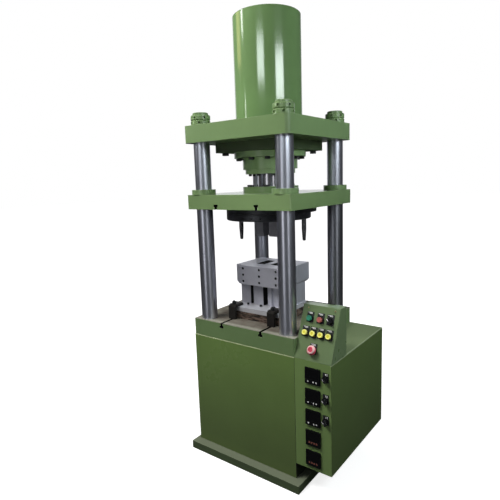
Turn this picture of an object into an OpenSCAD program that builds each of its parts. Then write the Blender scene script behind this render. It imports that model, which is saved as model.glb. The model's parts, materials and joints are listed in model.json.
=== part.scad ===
// Four-column hydraulic press with a forming tool, control cabinet and sloped console.
// Frame: origin on the floor under the ram axis, +X to the right of the operator,
// +Y to the rear, +Z up. All sizes in millimetres.

/* [Bed and cabinet] */
// Width of the bed block and of the cabinet below it
bed_w = 600; // [500:1:720]
// Depth of the bed block and of the cabinet, front to rear
bed_d = 580; // [480:1:700]
// Thickness of the bed block
bed_t = 83; // [70:1:110]
// Height of the working face of the bed above the floor
bed_top = 710; // [700:1:760]
// Thickness of the floor plate
base_t = 40; // [25:1:50]
// Reach of the floor plate past the left of the cabinet
base_left = 18; // [10:1:60]
// Reach of the floor plate past the right of the cabinet
base_right = 38; // [10:1:60]
// Reach of the floor plate past the front of the cabinet
base_front = 46; // [20:1:80]
// Reach of the floor plate past the rear of the cabinet
base_rear = 46; // [40:1:80]
// Thickness of the cabinet's plate walls
wall = 6; // [4:0.5:7]

/* [Columns and crown] */
// Distance of the column axes from the left and right edges of the bed
col_edge_x = 62; // [50:1:90]
// Distance of the column axes from the front and rear edges of the bed
col_edge_y = 51; // [42:1:90]
// Diameter of the ground columns
col_d = 80; // [72:1:82]
// Clear height from the bed face to the underside of the crown
open_h = 879; // [875:1:930]
// Reach of the crown past the column axes, to the left and right
crown_edge_x = 61; // [50:1:100]
// Reach of the crown past the column axes, to the front and rear
crown_edge_y = 61; // [50:1:100]
// Thickness of the crown
crown_t = 82; // [70:1:100]
// Rounding of the upright edges of platen, bed and square flange
edge_r = 6; // [3:0.5:12]
// Rounding of the upright edges of the crown
crown_r = 22; // [4:0.5:30]
// Diameter of the round column nuts
nut_d = 95; // [92:1:106]
// Height of one round column nut
nut_h = 24; // [20:1:34]

/* [Cylinder and ram] */
// Outside diameter of the cylinder
barrel_d = 328; // [272:1:360]
// Wall of the cylinder tube
barrel_wall = 39; // [30:1:50]
// Height of the cylinder above the underside of the crown
barrel_rise = 584; // [575:1:640]
// Side of the square flange that bears against the crown
cyl_flange_w = 386; // [320:1:420]
// Metal between the bore and each side of the square flange
flange_land = 68; // [60:1:80]
// Thickness of the square flange
cyl_flange_t = 49; // [40:1:50]
// Reach of the round gland flange past its hub
gland_lip = 42; // [38:1:46]
// Wall of the gland hub outside the bore's diameter
hub_wall = 12; // [9:1:16]
// Step from the hub to the ring that holds the packing
ring_step = 12; // [8:1:16]
// Space between the chromed ram and the bore
ram_annulus = 62.5; // [55:0.5:70]

/* [Platen] */
// Reach of the platen past the column axes, to the left and right
platen_edge_x = 62; // [60:1:100]
// Reach of the platen past the column axes, to the front and rear
platen_edge_y = 55; // [54:1:100]
// Thickness of the moving platen
platen_t = 70; // [60:1:72]
// Height of the platen's underside above the bed face
platen_lift = 561; // [545:1:563]
// Diameter of the flange that joins the ram to the platen
ram_flange_d = 280; // [260:1:290]
// Collar diameter of the guide bushes
bush_collar_d = 118; // [112:1:124]
// Collar height of the guide bushes
bush_collar_h = 24; // [16:1:30]

/* [Tee slots] */
// Distance between the two tee slots of bed and platen
slot_pitch = 236; // [220:1:250]
// Width of the slot's neck
slot_neck = 14; // [12:1:16]
// Width of the slot's head
slot_head = 25; // [23:1:27]

/* [Tool] */
// Diameter of the adapter disc under the platen
disc_d = 424; // [416:1:432]
// Diameter of the disc's upper rim
disc_rim_d = 456; // [445:1:470]
// Distance of the disc's centre in front of its rim's centre
disc_fwd = 25; // [0:1:30]
// Height of the whole adapter disc
disc_h = 60; // [50:1:64]
// Gap between each guide pin and the side of the die
pin_gap = 4; // [2:0.5:12]
// Distance of each guide pin in front of or behind the ram axis
pin_y = 40; // [0:1:60]
// Length of the guide pins below the disc
pin_len = 114; // [90:1:125]
// Width of one punch, side to side
punch_w = 50; // [40:1:56]
// Depth of one punch, front to rear
punch_l = 104; // [90:1:115]
// Gap between the two punches
punch_gap = 35; // [28:1:42]
// Height of the punch, with its holding plate
punch_h = 90; // [80:1:94]
// Width of the die block
die_w = 302; // [290:1:310]
// Depth of the die block
die_d = 222; // [210:1:230]
// Height of the die block
die_h = 102; // [94:1:104]
// Height of the risers below the die block
riser_h = 103; // [95:1:104]

/* [Control cabinet and console] */
// Width of the control cabinet
ctrl_w = 179; // [174:1:200]
// Height of the control cabinet's underside above the floor
ctrl_floor = 117; // [90:1:125]
// Height of the console
cons_h = 222; // [215:1:240]
// Depth of the console at its foot
cons_d = 147; // [140:1:160]
// Depth of the console's flat top
cons_top_d = 54; // [45:1:62]
// Travel of the push buttons
press_travel = 4; // [3:0.5:4.5]

/* [Hidden] */
$fn = 64;

// Clearances
run = 0.05;       // radial clearance of a running fit
seat = 0.05;      // radial clearance of a seated fit within one assembly
hole = 0.5;       // radial clearance of a bolt hole
slack = 0.5;      // clearance of the punch in the die, each side
eps = 1;          // overshoot of a cut

// Sizes that follow from others
col_sx = bed_w - 2 * col_edge_x;
col_sy = bed_d - 2 * col_edge_y;
crown_w = col_sx + 2 * crown_edge_x;
crown_d = col_sy + 2 * crown_edge_y;
platen_w = col_sx + 2 * platen_edge_x;
platen_d = col_sy + 2 * platen_edge_y;
bore_d = min(barrel_d - 2 * barrel_wall, cyl_flange_w - 2 * flange_land);
hub_d = bore_d + 2 * hub_wall;
gland_d = hub_d + 2 * gland_lip;
ring_d = hub_d - 2 * ring_step;
rod_d = bore_d - 2 * ram_annulus;

// Levels
z_seam = bed_top - bed_t;
z_crown = bed_top + open_h;
z_crown_top = z_crown + crown_t;
z_platen = bed_top + platen_lift;
z_platen_top = z_platen + platen_t;
z_cyl = z_crown - cyl_flange_t;
z_barrel_top = z_crown + barrel_rise;
barrel_end_t = 60;
z_bore_top = z_barrel_top - barrel_end_t;

// Columns: a stepped foot through the bed, a threaded top through the crown
foot_step = 8;
top_step = 2;
foot_nut_wall = 9;
foot_d = col_d - 2 * foot_step;
top_d = col_d - 2 * top_step;
foot_nut_d = foot_d + 2 * foot_nut_wall;
foot_nut_h = 40;
foot_stub = 8;
stub_h = 12;
stub_ch = 3;
tommy_d = 11;
tommy_depth = 7;
tommy_n = 6;
nut_ch = 3;
nut_gap = 0.3;
nut_turn_1 = 4;
nut_turn_2 = 34;

// Gland stack below the cylinder
gland_flange_t = 28;
hub_h = 57;
ring_t = 22;
ring_gap = 1;
spigot_h = 50;
bush_wall = 10;
packing_wall = 17;
packing_h = 45;
z_gland = z_cyl - gland_flange_t;
z_hub = z_gland - hub_h;
z_ring = z_hub - ring_t;
z_pack_top = z_hub + packing_h;
z_spigot = z_cyl + spigot_h;
gland_bolt_in = 20;
gland_pcd = hub_d + 2 * gland_bolt_in;
gland_bolt_d = 16;
gland_bolt_af = 24;
gland_bolt_head = 12;
gland_bolt_n = 12;
gland_bolt_reach = 34;
packing_d = rod_d + 2 * packing_wall;
ring_pcd = (packing_d + ring_d) / 2;
ring_screw_d = 10;
ring_screw_head_d = 16;
ring_screw_head = 10;
ring_screw_n = 8;
ring_screw_reach = 25;
corner_bolt_in = 36;
corner_bolt_p = cyl_flange_w / 2 - corner_bolt_in;
corner_bolt_d = 20;
corner_bolt_af = 30;
corner_bolt_head = 14;
corner_bolt_reach = 40;

// Ram and piston at the open position shown
ram_flange_t = 30;
ram_bolt_n = 8;
ram_bolt_in = 30;
ram_bolt_pcd = ram_flange_d - 2 * ram_bolt_in;
ram_bolt_d = 14;
ram_bolt_af = 21;
ram_bolt_head = 9;
ram_bolt_reach = 30;
piston_h = 90;
piston_headroom = 68;
piston_shoulder = 22.5;
piston_neck_d = rod_d - 2 * piston_shoulder;
groove_w = 8;
groove_d = 5;
z_piston_top = z_bore_top - piston_headroom;
z_piston = z_piston_top - piston_h;

// Guide bushes in the platen
bush_collar_step = 7;
bush_d = bush_collar_d - 2 * bush_collar_step;

// Tee slots
slot_head_h = 11;
slot_depth = 24;
slot_x = slot_pitch / 2;

// Adapter disc, pins and punch
disc_rim_t = 28;
disc_ch = 3;
side_hole_d = 8;
side_hole_depth = 25;
side_hole_z = 14;
side_hole_first = -90;
side_hole_step = 12;
side_hole_n = 3;
disc_bolt_y = 120;
disc_bolt_d = 12;
disc_bolt_up = 2;
tee_head_h = 8;
tee_head_gap = 0.5;
disc_nut_af = 19;
disc_nut_h = 10;
disc_cb_d = 32;
disc_cb = 16;
z_disc = z_platen - disc_h;
pin_d = 23;
pin_tip_d = 16;
pin_root = 20;
pin_taper = 60;
pin_ch = 3;
pin_x = die_w / 2 + pin_d / 2 + pin_gap;
holder_t = 16;
holder_lip = 6;
punch_x = (punch_gap + punch_w) / 2;
holder_screw_d = 10;
holder_screw_x = punch_x;
holder_screw_y = 30;
holder_screw_reach = 25;

// Die set on the bed
bolster_t = 38;
die_base_t = 23;
die_base_w = 284;
die_base_front = 175;
z_die_base = bed_top + bolster_t;
z_riser = z_die_base + die_base_t;
z_die = z_riser + riser_h;
die_ch = 15;
riser_w = die_w - 2 * die_ch;
riser_d = die_d - 2 * die_ch;
die_base_lip = 2;
die_base_rear = riser_d / 2 + die_base_lip;
riser_gap_left = 18;
riser_left_w = 60;
riser_mid_w = 60;
riser_gap_right = 28;
riser_rib = 23;
riser_step = 10;
plate_t = 15;
plate_side = 36;
plate_w = die_w - 2 * plate_side;
plate_drop = 3;
screw_d = 8;
screw_head_d = 13;
screw_head_h = 8;
screw_sink = 2;
screw_reach = 20;
screw_key_d = 7;
screw_key_depth = 4;
screw_px = 100;
screw_pz = 33;
base_screw_x = 80;
base_screw_y = 20;
base_screw_in = 10;
base_screw_len = die_base_t + base_screw_in;

// Strap clamps on the tee slots
clamp_w = 40;
clamp_len = 71;
clamp_lap = 40;
clamp_t = 15;
heel_len = 14;
clamp_ch = 6;
heel_ch = 10;
stud_d = 12;
stud_y = 22;
stud_nut_af = 19;
stud_nut_h = 12;
stud_over = 4;
clamp_y = die_base_front - clamp_lap;

// Control cabinet
sheet = 3;
ctrl_x = bed_w / 2;
front_y = -bed_d / 2;
ctrl_open = 30;
unit = 72;
unit_cut = 68;
unit_body = 67;
unit_depth = 85;
unit_proud = 7;
unit_x = 91;
unit_pitch = 97;
unit_top = 65;
unit_n = 5;
controller_n = 3;
window_w = 60;
window_h = 40;
window_z = 8;
window_deep = 2;
key_d = 5;
key_x = [-20, 6, 20];
key_z = -25;
key_proud = 1;
digit_n = 4;
digit_w = 9;
digit_h = 10;
digit_pitch = 12;
digit_z = -20;
sel_x = 153;
sel_rise = 1;
sel_plate_w = 29;
sel_plate_h = 43;
sel_plate_up = 6;

// Console controls
tilt = atan((cons_d - cons_top_d) / cons_h);
row_1 = 180;
row_2 = 116;
row_3 = 46;
col_1 = 43;
col_2 = 94;
col_3 = 141;
yellow_x = 33;
yellow_p = 38.3;
stop_x = 84;
cut_d = 22.4;
barrel_tube_d = 22;
stem_d = 18;
tube_len = 30;
stem_len = 24;
plate_1 = 1;
plate_pw = 34;
plate_ph = 46;
plate_up = 7;
bezel_d = 30;
bezel_h = 8;
cap_d = 24;
cap_gap = 0.3;
cap_rest = 0.5;
cap_z = plate_1 + eps + press_travel + cap_rest;
cap_h = 10;
cap_ch = 1;
dish_d = 16;
dish_t = 0.8;
stop_travel = 5;
stop_d = 42;
stop_rest = 1;
stop_z = bezel_h + stop_travel + stop_rest;
stop_rim = 7;
stop_dome = 8;
stop_ch = 2;
stop_edge = 3;
stop_flat = 1;
stop_eye_d = 20;
stop_eye_t = 1.5;
knob_gap = 0.4;
knob_z = bezel_h + knob_gap;
knob_h = 4;
bar_w = 8;
bar_h = 12;
knob_turn = 45;

// Rear cover
cover_side = 80;
cover_head = 117;
cover_foot = 50;
open_w = bed_w - 2 * cover_side;
cover_z = base_t + cover_foot;
open_h2 = z_seam - cover_head - cover_z;
cover_lap = 25;
cover_t = 3;
cover_screw_out = 2;
cover_screw_d = 8;
cover_screw_head_d = 15;
cover_screw_head = 5;

// Power pack inside the cabinet
tank_side = 74;
tank_front = 44;
tank_rear = 124;
tank_w = bed_w - 2 * wall - 2 * tank_side;
tank_d = bed_d - 2 * wall - tank_front - tank_rear;
tank_h = 230;
tank_wall = 4;
tank_y = (tank_front - tank_rear) / 2;
lid_t = 10;
lid_lap = 6;
z_lid = base_t + tank_h;
z_pack = z_lid + lid_t;
motor_x = 90;
motor_d = 170;
motor_h = 215;
motor_fins = 24;
fin_root = 2;
fin_h = 7;
fin_w = 3;
motor_flange_d = 200;
motor_flange_t = 14;
box_w = 80;
box_h = 70;
box_reach = 45;
pump_w = 90;
pump_d = 80;
pump_h = 110;
strainer_d = 60;
strainer_h = 40;
spigot_d = 60;
valve_w = 110;
valve_d = 130;
valve_h = 130;
valve_in = 75;
valve_x = -tank_w / 2 + valve_in;
solenoid_d = 44;
solenoid_len = 60;
valve_body = 46;
valve_n = 2;
valve_pitch = 62;

// Oil pipes
pipe_d = 16;
pipe_bend = 32;
pipe_in_1 = 20;
pipe_in_2 = 42;
pipe_x1 = -bed_w / 2 + pipe_in_1;
pipe_x2 = -bed_w / 2 + pipe_in_2;
pipe_gap = 8;
pipe_y = max(crown_d, platen_d, bed_d) / 2 + pipe_gap + pipe_d / 2;
pipe_up_1 = 60;
pipe_up_2 = 95;
pipe_z1 = z_pack + pipe_up_1;
pipe_z2 = z_pack + pipe_up_2;
pipe_start = valve_x - valve_w / 2;
pipe_side = 20;
pipe_y1 = tank_y + pipe_side;
pipe_y2 = tank_y - pipe_side;
port_x = -60;
port_bore = 12;
port_depth = 16;
port_y = sqrt(pow(barrel_d / 2, 2) - pow(port_x, 2));
port_up = 29;
port_down = 15;
cross_up = 30;
z_port_low = z_crown_top + port_up;
z_port_high = z_bore_top - port_down;
z_cross = z_port_low + cross_up;

// Paints and metals
green = [0.40, 0.52, 0.30];
dark_green = [0.30, 0.40, 0.24];
ground = [0.72, 0.72, 0.76];
steel = [0.52, 0.52, 0.55];
brown = [0.45, 0.38, 0.32];
black = [0.09, 0.09, 0.10];
cap_yellow = [0.95, 0.90, 0.35];
stop_red = [0.80, 0.18, 0.25];
cap_red = [0.72, 0.30, 0.28];
milled = [0.66, 0.66, 0.68];
bronze = [0.66, 0.50, 0.25];
alloy = [0.62, 0.62, 0.64];
motor_grey = [0.35, 0.38, 0.42];
disc_grey = [0.20, 0.19, 0.19];
cap_green = [0.10, 0.45, 0.30];

// Shared shapes

// Box between two corners
module box(lo, hi) {
  translate(lo) cube(hi - lo);
}

// Block centred on the axis with rounded upright edges
module block(w, d, h, r) {
  linear_extrude(h) {
    square([w - 2 * r, d], center = true);
    square([w, d - 2 * r], center = true);
    for (x = [-1, 1], y = [-1, 1]) {
      translate([x * (w / 2 - r), y * (d / 2 - r)]) circle(r);
    }
  }
}

// Children repeated at the four columns
module at_columns() {
  for (x = [-1, 1], y = [-1, 1]) {
    translate([x * col_sx / 2, y * col_sy / 2, 0]) children();
  }
}

// Children repeated round the axis
module ring_of(n, pcd, turn = 0) {
  for (i = [0 : n - 1]) {
    rotate(turn + i * 360 / n) translate([pcd / 2, 0, 0]) children();
  }
}

// Hexagon bolt: the head hangs below z = 0, the shank rises above it
module hex_bolt(d, af, head, reach) {
  translate([0, 0, -head]) cylinder(d = af / cos(30), h = head, $fn = 6);
  cylinder(d = d, h = reach);
}

// Socket head screw: the head hangs below z = 0, with its hexagon socket
module socket_screw(d, head_d, head, reach, key, key_depth) {
  difference() {
    union() {
      translate([0, 0, -head]) cylinder(d = head_d, h = head);
      cylinder(d = d, h = reach);
    }
    translate([0, 0, -head - eps]) cylinder(d = key, h = key_depth + eps, $fn = 6);
  }
}

// Profile of a tee slot that opens at y = 0 and runs down
module tee_profile() {
  translate([-slot_neck / 2, -slot_depth]) square([slot_neck, slot_depth + eps]);
  translate([-slot_head / 2, -slot_depth]) square([slot_head, slot_head_h]);
}

// Cut of both tee slots, through a block of the given depth, opening upward
module tee_slots(depth) {
  for (x = [-slot_x, slot_x]) {
    translate([x, depth / 2 + eps, 0]) rotate([90, 0, 0]) linear_extrude(depth + 2 * eps) tee_profile();
  }
}

// Quarter bend of the oil pipe, in the local XY plane, from (bend, 0) to (0, bend)
module elbow() {
  rotate_extrude(angle = 90) translate([pipe_bend, 0]) circle(d = pipe_d);
}

// Straight run of the oil pipe along local z
module run_of(len) {
  cylinder(d = pipe_d, h = len);
}

// Places children on the sloped face: x along the console, y up the slope, z outward
module on_face(u, s) {
  translate([ctrl_x + u, front_y, z_seam]) rotate([90 - tilt, 0, 0]) translate([0, s, 0]) children();
}

// Places children on the front of the control cabinet, z outward
module on_front(u, z) {
  translate([ctrl_x + u, front_y, z]) rotate([90, 0, 0]) children();
}

// Places children at instrument i, counted from the top
module at_unit(i) {
  on_front(unit_x, z_seam - unit_top - i * unit_pitch) children();
}

// Places children at panel selector i
module at_selector(i) {
  on_front(sel_x, z_seam - unit_top - i * unit_pitch + sel_rise) children();
}

// Places children at every push button of the console
module at_buttons() {
  for (u = [col_1, col_2]) {
    on_face(u, row_1) children();
  }
  for (i = [0 : 3]) {
    on_face(yellow_x + i * yellow_p, row_2) children();
  }
}

// Base and cabinet

module base_plate() {
  color(dark_green)
  box([-bed_w / 2 - base_left, front_y - base_front, 0],
      [bed_w / 2 + base_right, bed_d / 2 + base_rear, base_t]);
}

module cabinet() {
  color(green)
  difference() {
    box([-bed_w / 2, front_y, base_t], [bed_w / 2, bed_d / 2, z_seam]);
    box([-bed_w / 2 + wall, front_y + wall, base_t - eps],
        [bed_w / 2 - wall, bed_d / 2 - wall, z_seam + eps]);
    box([-open_w / 2, 0, cover_z], [open_w / 2, bed_d, cover_z + open_h2]);
    cover_holes(cover_screw_d / 2 + seat);
    translate([pipe_x1, bed_d / 2, pipe_z1]) pipe_hole();
    translate([pipe_x2, bed_d / 2, pipe_z2]) pipe_hole();
    translate([bed_w / 2, 0, (z_seam + base_t) / 2]) cable_hole();
  }
}

// Hole for an oil pipe through the rear wall
module pipe_hole() {
  rotate([90, 0, 0]) cylinder(r = pipe_d / 2 + hole, h = 4 * wall, center = true);
}

// Opening for the wiring into the control cabinet
module cable_hole() {
  rotate([0, 90, 0]) cylinder(d = ctrl_open, h = 4 * wall, center = true);
}

// Screw positions of the rear cover, as cuts through wall and cover
module cover_holes(r) {
  for (x = [-1, 0, 1], z = [-1, 0, 1]) {
    if (x != 0 || z != 0) {
      translate([x * (open_w + cover_lap) / 2, bed_d / 2,
                 cover_z + open_h2 / 2 + z * (open_h2 + cover_lap) / 2])
        rotate([90, 0, 0]) cylinder(r = r, h = 4 * wall, center = true);
    }
  }
}

module rear_cover() {
  color(green)
  difference() {
    box([-open_w / 2 - cover_lap, bed_d / 2, cover_z - cover_lap],
        [open_w / 2 + cover_lap, bed_d / 2 + cover_t, cover_z + open_h2 + cover_lap]);
    cover_holes(cover_screw_d / 2 + hole);
  }
}

module cover_screws() {
  color(steel)
  for (x = [-1, 0, 1], z = [-1, 0, 1]) {
    if (x != 0 || z != 0) {
      translate([x * (open_w + cover_lap) / 2, bed_d / 2 + cover_t,
                 cover_z + open_h2 / 2 + z * (open_h2 + cover_lap) / 2])
        rotate([90, 0, 0]) {
          translate([0, 0, -cover_screw_head]) cylinder(d = cover_screw_head_d, h = cover_screw_head);
          cylinder(d = cover_screw_d, h = cover_t + wall + cover_screw_out);
        }
    }
  }
}

module bed() {
  color(brown)
  difference() {
    translate([0, 0, z_seam]) block(bed_w, bed_d, bed_t, edge_r);
    at_columns() translate([0, 0, z_seam - eps]) cylinder(r = foot_d / 2 + seat, h = bed_t + 2 * eps);
    translate([0, 0, bed_top]) tee_slots(bed_d);
  }
}

// Columns, nuts and crown

module columns() {
  color(ground)
  at_columns() {
    translate([0, 0, z_seam - foot_nut_h - foot_stub])
      cylinder(d = foot_d, h = bed_t + foot_nut_h + foot_stub);
    translate([0, 0, bed_top]) cylinder(d = col_d, h = open_h);
    translate([0, 0, z_crown]) cylinder(d = top_d, h = crown_t + 2 * nut_h + stub_h - stub_ch);
    translate([0, 0, z_crown_top + 2 * nut_h + stub_h - stub_ch])
      cylinder(d1 = top_d, d2 = top_d - 2 * stub_ch, h = stub_ch);
  }
}

// One round nut with tommy holes in its rim
module round_nut(d, h, bore, turn) {
  difference() {
    rotate_extrude() polygon([
      [bore / 2 + seat, 0], [d / 2 - nut_ch, 0], [d / 2, nut_ch],
      [d / 2, h - nut_ch], [d / 2 - nut_ch, h], [bore / 2 + seat, h]
    ]);
    for (i = [0 : tommy_n - 1]) {
      rotate(turn + i * 360 / tommy_n) translate([d / 2 - tommy_depth, 0, h / 2])
        rotate([0, 90, 0]) cylinder(d = tommy_d, h = tommy_depth + eps, $fn = 24);
    }
  }
}

module column_nuts() {
  color(green)
  at_columns() {
    translate([0, 0, z_crown_top]) round_nut(nut_d, nut_h, top_d, nut_turn_1);
    translate([0, 0, z_crown_top + nut_h + nut_gap]) round_nut(nut_d, nut_h, top_d, nut_turn_2);
  }
}

module foot_nuts() {
  color(steel)
  at_columns() translate([0, 0, z_seam - foot_nut_h]) round_nut(foot_nut_d, foot_nut_h, foot_d, 0);
}

module crown() {
  color(green)
  difference() {
    translate([0, 0, z_crown]) block(crown_w, crown_d, crown_t, crown_r);
    at_columns() translate([0, 0, z_crown - eps]) cylinder(r = top_d / 2 + seat, h = crown_t + 2 * eps);
    translate([0, 0, z_crown - eps]) cylinder(r = barrel_d / 2 + seat, h = crown_t + 2 * eps);
    corner_holes(corner_bolt_d / 2 + seat, z_crown - eps, corner_bolt_reach + eps);
  }
}

// Cylinder and gland

// Four bolt holes near the corners of the square flange
module corner_holes(r, z, h) {
  for (x = [-1, 1], y = [-1, 1]) {
    translate([x * corner_bolt_p, y * corner_bolt_p, z]) cylinder(r = r, h = h);
  }
}

module cylinder_barrel() {
  color(green)
  difference() {
    union() {
      translate([0, 0, z_cyl]) block(cyl_flange_w, cyl_flange_w, cyl_flange_t, edge_r);
      translate([0, 0, z_crown]) rotate_extrude() polygon([
        [0, 0], [barrel_d / 2, 0], [barrel_d / 2, barrel_rise - stub_ch],
        [barrel_d / 2 - stub_ch, barrel_rise], [0, barrel_rise]
      ]);
    }
    translate([0, 0, z_cyl - eps]) cylinder(d = bore_d, h = z_bore_top - z_cyl + eps);
    corner_holes(corner_bolt_d / 2 + hole, z_cyl - eps, cyl_flange_t + 2 * eps);
    translate([0, 0, z_cyl - eps]) ring_of(gland_bolt_n, gland_pcd)
      cylinder(r = gland_bolt_d / 2 + seat, h = gland_bolt_reach);
    translate([port_x, 0, z_port_low]) port_cut();
    translate([port_x, 0, z_port_high]) port_cut();
  }
}

// Oil port through the rear of the barrel: a drilling and a seat for the pipe
module port_cut() {
  rotate([-90, 0, 0]) cylinder(d = port_bore, h = barrel_d);
  translate([0, port_y - port_depth, 0]) rotate([-90, 0, 0]) cylinder(r = pipe_d / 2 + seat, h = barrel_d);
}

module cylinder_bolts() {
  color(black)
  for (x = [-1, 1], y = [-1, 1]) {
    translate([x * corner_bolt_p, y * corner_bolt_p, z_cyl])
      hex_bolt(corner_bolt_d, corner_bolt_af, corner_bolt_head, cyl_flange_t + corner_bolt_reach - eps);
  }
}

module gland_head() {
  color(green)
  difference() {
    rotate_extrude() polygon([
      [rod_d / 2 + bush_wall + seat, z_pack_top], [rod_d / 2 + packing_wall + seat, z_pack_top],
      [rod_d / 2 + packing_wall + seat, z_hub], [hub_d / 2, z_hub],
      [hub_d / 2, z_gland], [gland_d / 2, z_gland],
      [gland_d / 2, z_cyl], [bore_d / 2 - seat, z_cyl],
      [bore_d / 2 - seat, z_spigot], [rod_d / 2 + bush_wall + seat, z_spigot]
    ]);
    translate([0, 0, z_gland - eps]) ring_of(gland_bolt_n, gland_pcd)
      cylinder(r = gland_bolt_d / 2 + hole, h = gland_flange_t + 2 * eps);
    translate([0, 0, z_hub - eps]) ring_of(ring_screw_n, ring_pcd)
      cylinder(r = ring_screw_d / 2 + seat, h = ring_screw_reach + eps);
  }
}

module gland_bolts() {
  color(black)
  translate([0, 0, z_gland]) ring_of(gland_bolt_n, gland_pcd)
    hex_bolt(gland_bolt_d, gland_bolt_af, gland_bolt_head, gland_flange_t + gland_bolt_reach - 2 * eps);
}

module gland_ring() {
  color(green)
  difference() {
    translate([0, 0, z_ring]) cylinder(d = ring_d, h = ring_t);
    translate([0, 0, z_ring - eps]) cylinder(r = rod_d / 2 + ring_gap, h = ring_t + 2 * eps);
    translate([0, 0, z_ring - eps]) ring_of(ring_screw_n, ring_pcd)
      cylinder(r = ring_screw_d / 2 + hole, h = ring_t + 2 * eps);
  }
}

module gland_ring_screws() {
  color(black)
  translate([0, 0, z_ring]) ring_of(ring_screw_n, ring_pcd)
    socket_screw(ring_screw_d, ring_screw_head_d, ring_screw_head, ring_t + ring_screw_reach - eps,
                 screw_key_d, screw_key_depth);
}

module rod_bush() {
  color(bronze)
  difference() {
    translate([0, 0, z_pack_top]) cylinder(r = rod_d / 2 + bush_wall, h = z_spigot - z_pack_top);
    translate([0, 0, z_pack_top - eps]) cylinder(r = rod_d / 2 + run, h = z_spigot - z_pack_top + 2 * eps);
  }
}

module rod_packing() {
  color(black)
  difference() {
    translate([0, 0, z_hub]) cylinder(r = rod_d / 2 + packing_wall, h = packing_h);
    translate([0, 0, z_hub - eps]) cylinder(r = rod_d / 2 + run, h = packing_h + 2 * eps);
  }
}

// Oil pipes: out of the valve block, through the rear wall, up behind the rear left column

// Lower part shared by both pipes, from the valve block to the foot of the rise
module pipe_foot(x, y, z) {
  translate([pipe_start, y, z]) rotate([0, -90, 0]) run_of(pipe_start - x - pipe_bend);
  translate([x + pipe_bend, y + pipe_bend, z]) rotate(180) elbow();
  translate([x, y + pipe_bend, z]) rotate([-90, 0, 0]) run_of(pipe_y - y - 2 * pipe_bend);
  translate([x, pipe_y - pipe_bend, z + pipe_bend]) rotate([0, 90, 0]) elbow();
}

// Rise and cross run, from the foot to the bend at x = port_x
module pipe_rise(x, z, top) {
  translate([x, pipe_y, z + pipe_bend]) run_of(top - z - 2 * pipe_bend);
  translate([x + pipe_bend, pipe_y, top - pipe_bend]) rotate([90, 0, 0]) rotate(90) elbow();
  translate([x + pipe_bend, pipe_y, top]) rotate([0, 90, 0]) run_of(port_x - x - 2 * pipe_bend);
}

module pressure_pipe() {
  color(steel) {
    pipe_foot(pipe_x1, pipe_y1, pipe_z1);
    pipe_rise(pipe_x1, pipe_z1, z_cross);
    translate([port_x - pipe_bend, pipe_y, z_cross + pipe_bend]) rotate([90, 0, 0]) rotate(-90) elbow();
    translate([port_x, pipe_y, z_cross + pipe_bend]) run_of(z_port_high - z_cross - 2 * pipe_bend);
    translate([port_x, pipe_y - pipe_bend, z_port_high - pipe_bend]) rotate([0, -90, 0]) elbow();
    translate([port_x, pipe_y - pipe_bend, z_port_high]) rotate([90, 0, 0])
      run_of(pipe_y - pipe_bend - port_y + port_depth);
  }
}

module return_pipe() {
  color(steel) {
    pipe_foot(pipe_x2, pipe_y2, pipe_z2);
    pipe_rise(pipe_x2, pipe_z2, z_port_low);
    translate([port_x - pipe_bend, pipe_y - pipe_bend, z_port_low]) elbow();
    translate([port_x, pipe_y - pipe_bend, z_port_low]) rotate([90, 0, 0])
      run_of(pipe_y - pipe_bend - port_y + port_depth);
  }
}

// Die set on the bed

module die_body() {
  color(steel)
  difference() {
    translate([0, die_d / 2, z_die]) rotate([90, 0, 0]) linear_extrude(die_d) polygon([
      [-die_w / 2 + die_ch, 0], [die_w / 2 - die_ch, 0], [die_w / 2, die_ch],
      [die_w / 2, die_h], [-die_w / 2, die_h], [-die_w / 2, die_ch]
    ]);
    for (x = [-punch_x, punch_x]) {
      translate([x, 0, z_die + die_h / 2])
        cube([punch_w + 2 * slack, punch_l + 2 * slack, die_h + 2 * eps], center = true);
    }
    at_plate_screws() cylinder(r = screw_d / 2 + seat, h = plate_t + screw_reach);
  }
}

// Places children at the nine screws of the front plate, z pointing into the die
module at_plate_screws() {
  for (x = [-1, 0, 1], z = [-1, 0, 1]) {
    translate([x * screw_px, -die_d / 2 - plate_t, z_die + (die_h + plate_drop) / 2 + z * screw_pz])
      rotate([-90, 0, 0]) children();
  }
}

module die_front_plate() {
  color(steel)
  difference() {
    box([-plate_w / 2, -die_d / 2 - plate_t, z_die + plate_drop], [plate_w / 2, -die_d / 2, z_die + die_h]);
    at_plate_screws() {
      translate([0, 0, -eps]) cylinder(r = screw_head_d / 2 + hole, h = screw_head_h + screw_sink + eps);
      cylinder(r = screw_d / 2 + hole, h = plate_t + eps);
    }
  }
}

// Places children at the screws along the front of the die base, z pointing down
module at_base_screws() {
  for (x = [-1, 0, 1]) {
    translate([x * base_screw_x, -riser_d / 2 - base_screw_y, z_riser]) rotate([180, 0, 0]) children();
  }
}

module die_screws() {
  color(black) {
    at_plate_screws() translate([0, 0, screw_head_h + screw_sink])
      socket_screw(screw_d, screw_head_d, screw_head_h, screw_reach, screw_key_d, screw_key_depth);
    at_base_screws()
      socket_screw(screw_d, screw_head_d, screw_head_h, base_screw_len, screw_key_d, screw_key_depth);
  }
}

module die_risers() {
  x0 = -riser_w / 2;
  x1 = x0 + riser_left_w;
  x2 = x1 + riser_gap_left;
  x3 = x2 + riser_mid_w;
  x4 = x3 + riser_gap_right;
  color(steel) {
    box([x0, -riser_d / 2, z_riser], [x1, riser_d / 2, z_die]);
    box([x2, -riser_d / 2, z_riser], [x3, riser_d / 2, z_die]);
    difference() {
      box([x4, -riser_d / 2, z_riser], [riser_w / 2, riser_d / 2, z_die]);
      box([x4 + riser_rib, -riser_d / 2 - eps, z_riser - eps],
          [riser_w / 2 - riser_rib, -riser_d / 2 + riser_step, z_die + eps]);
    }
  }
}

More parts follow.
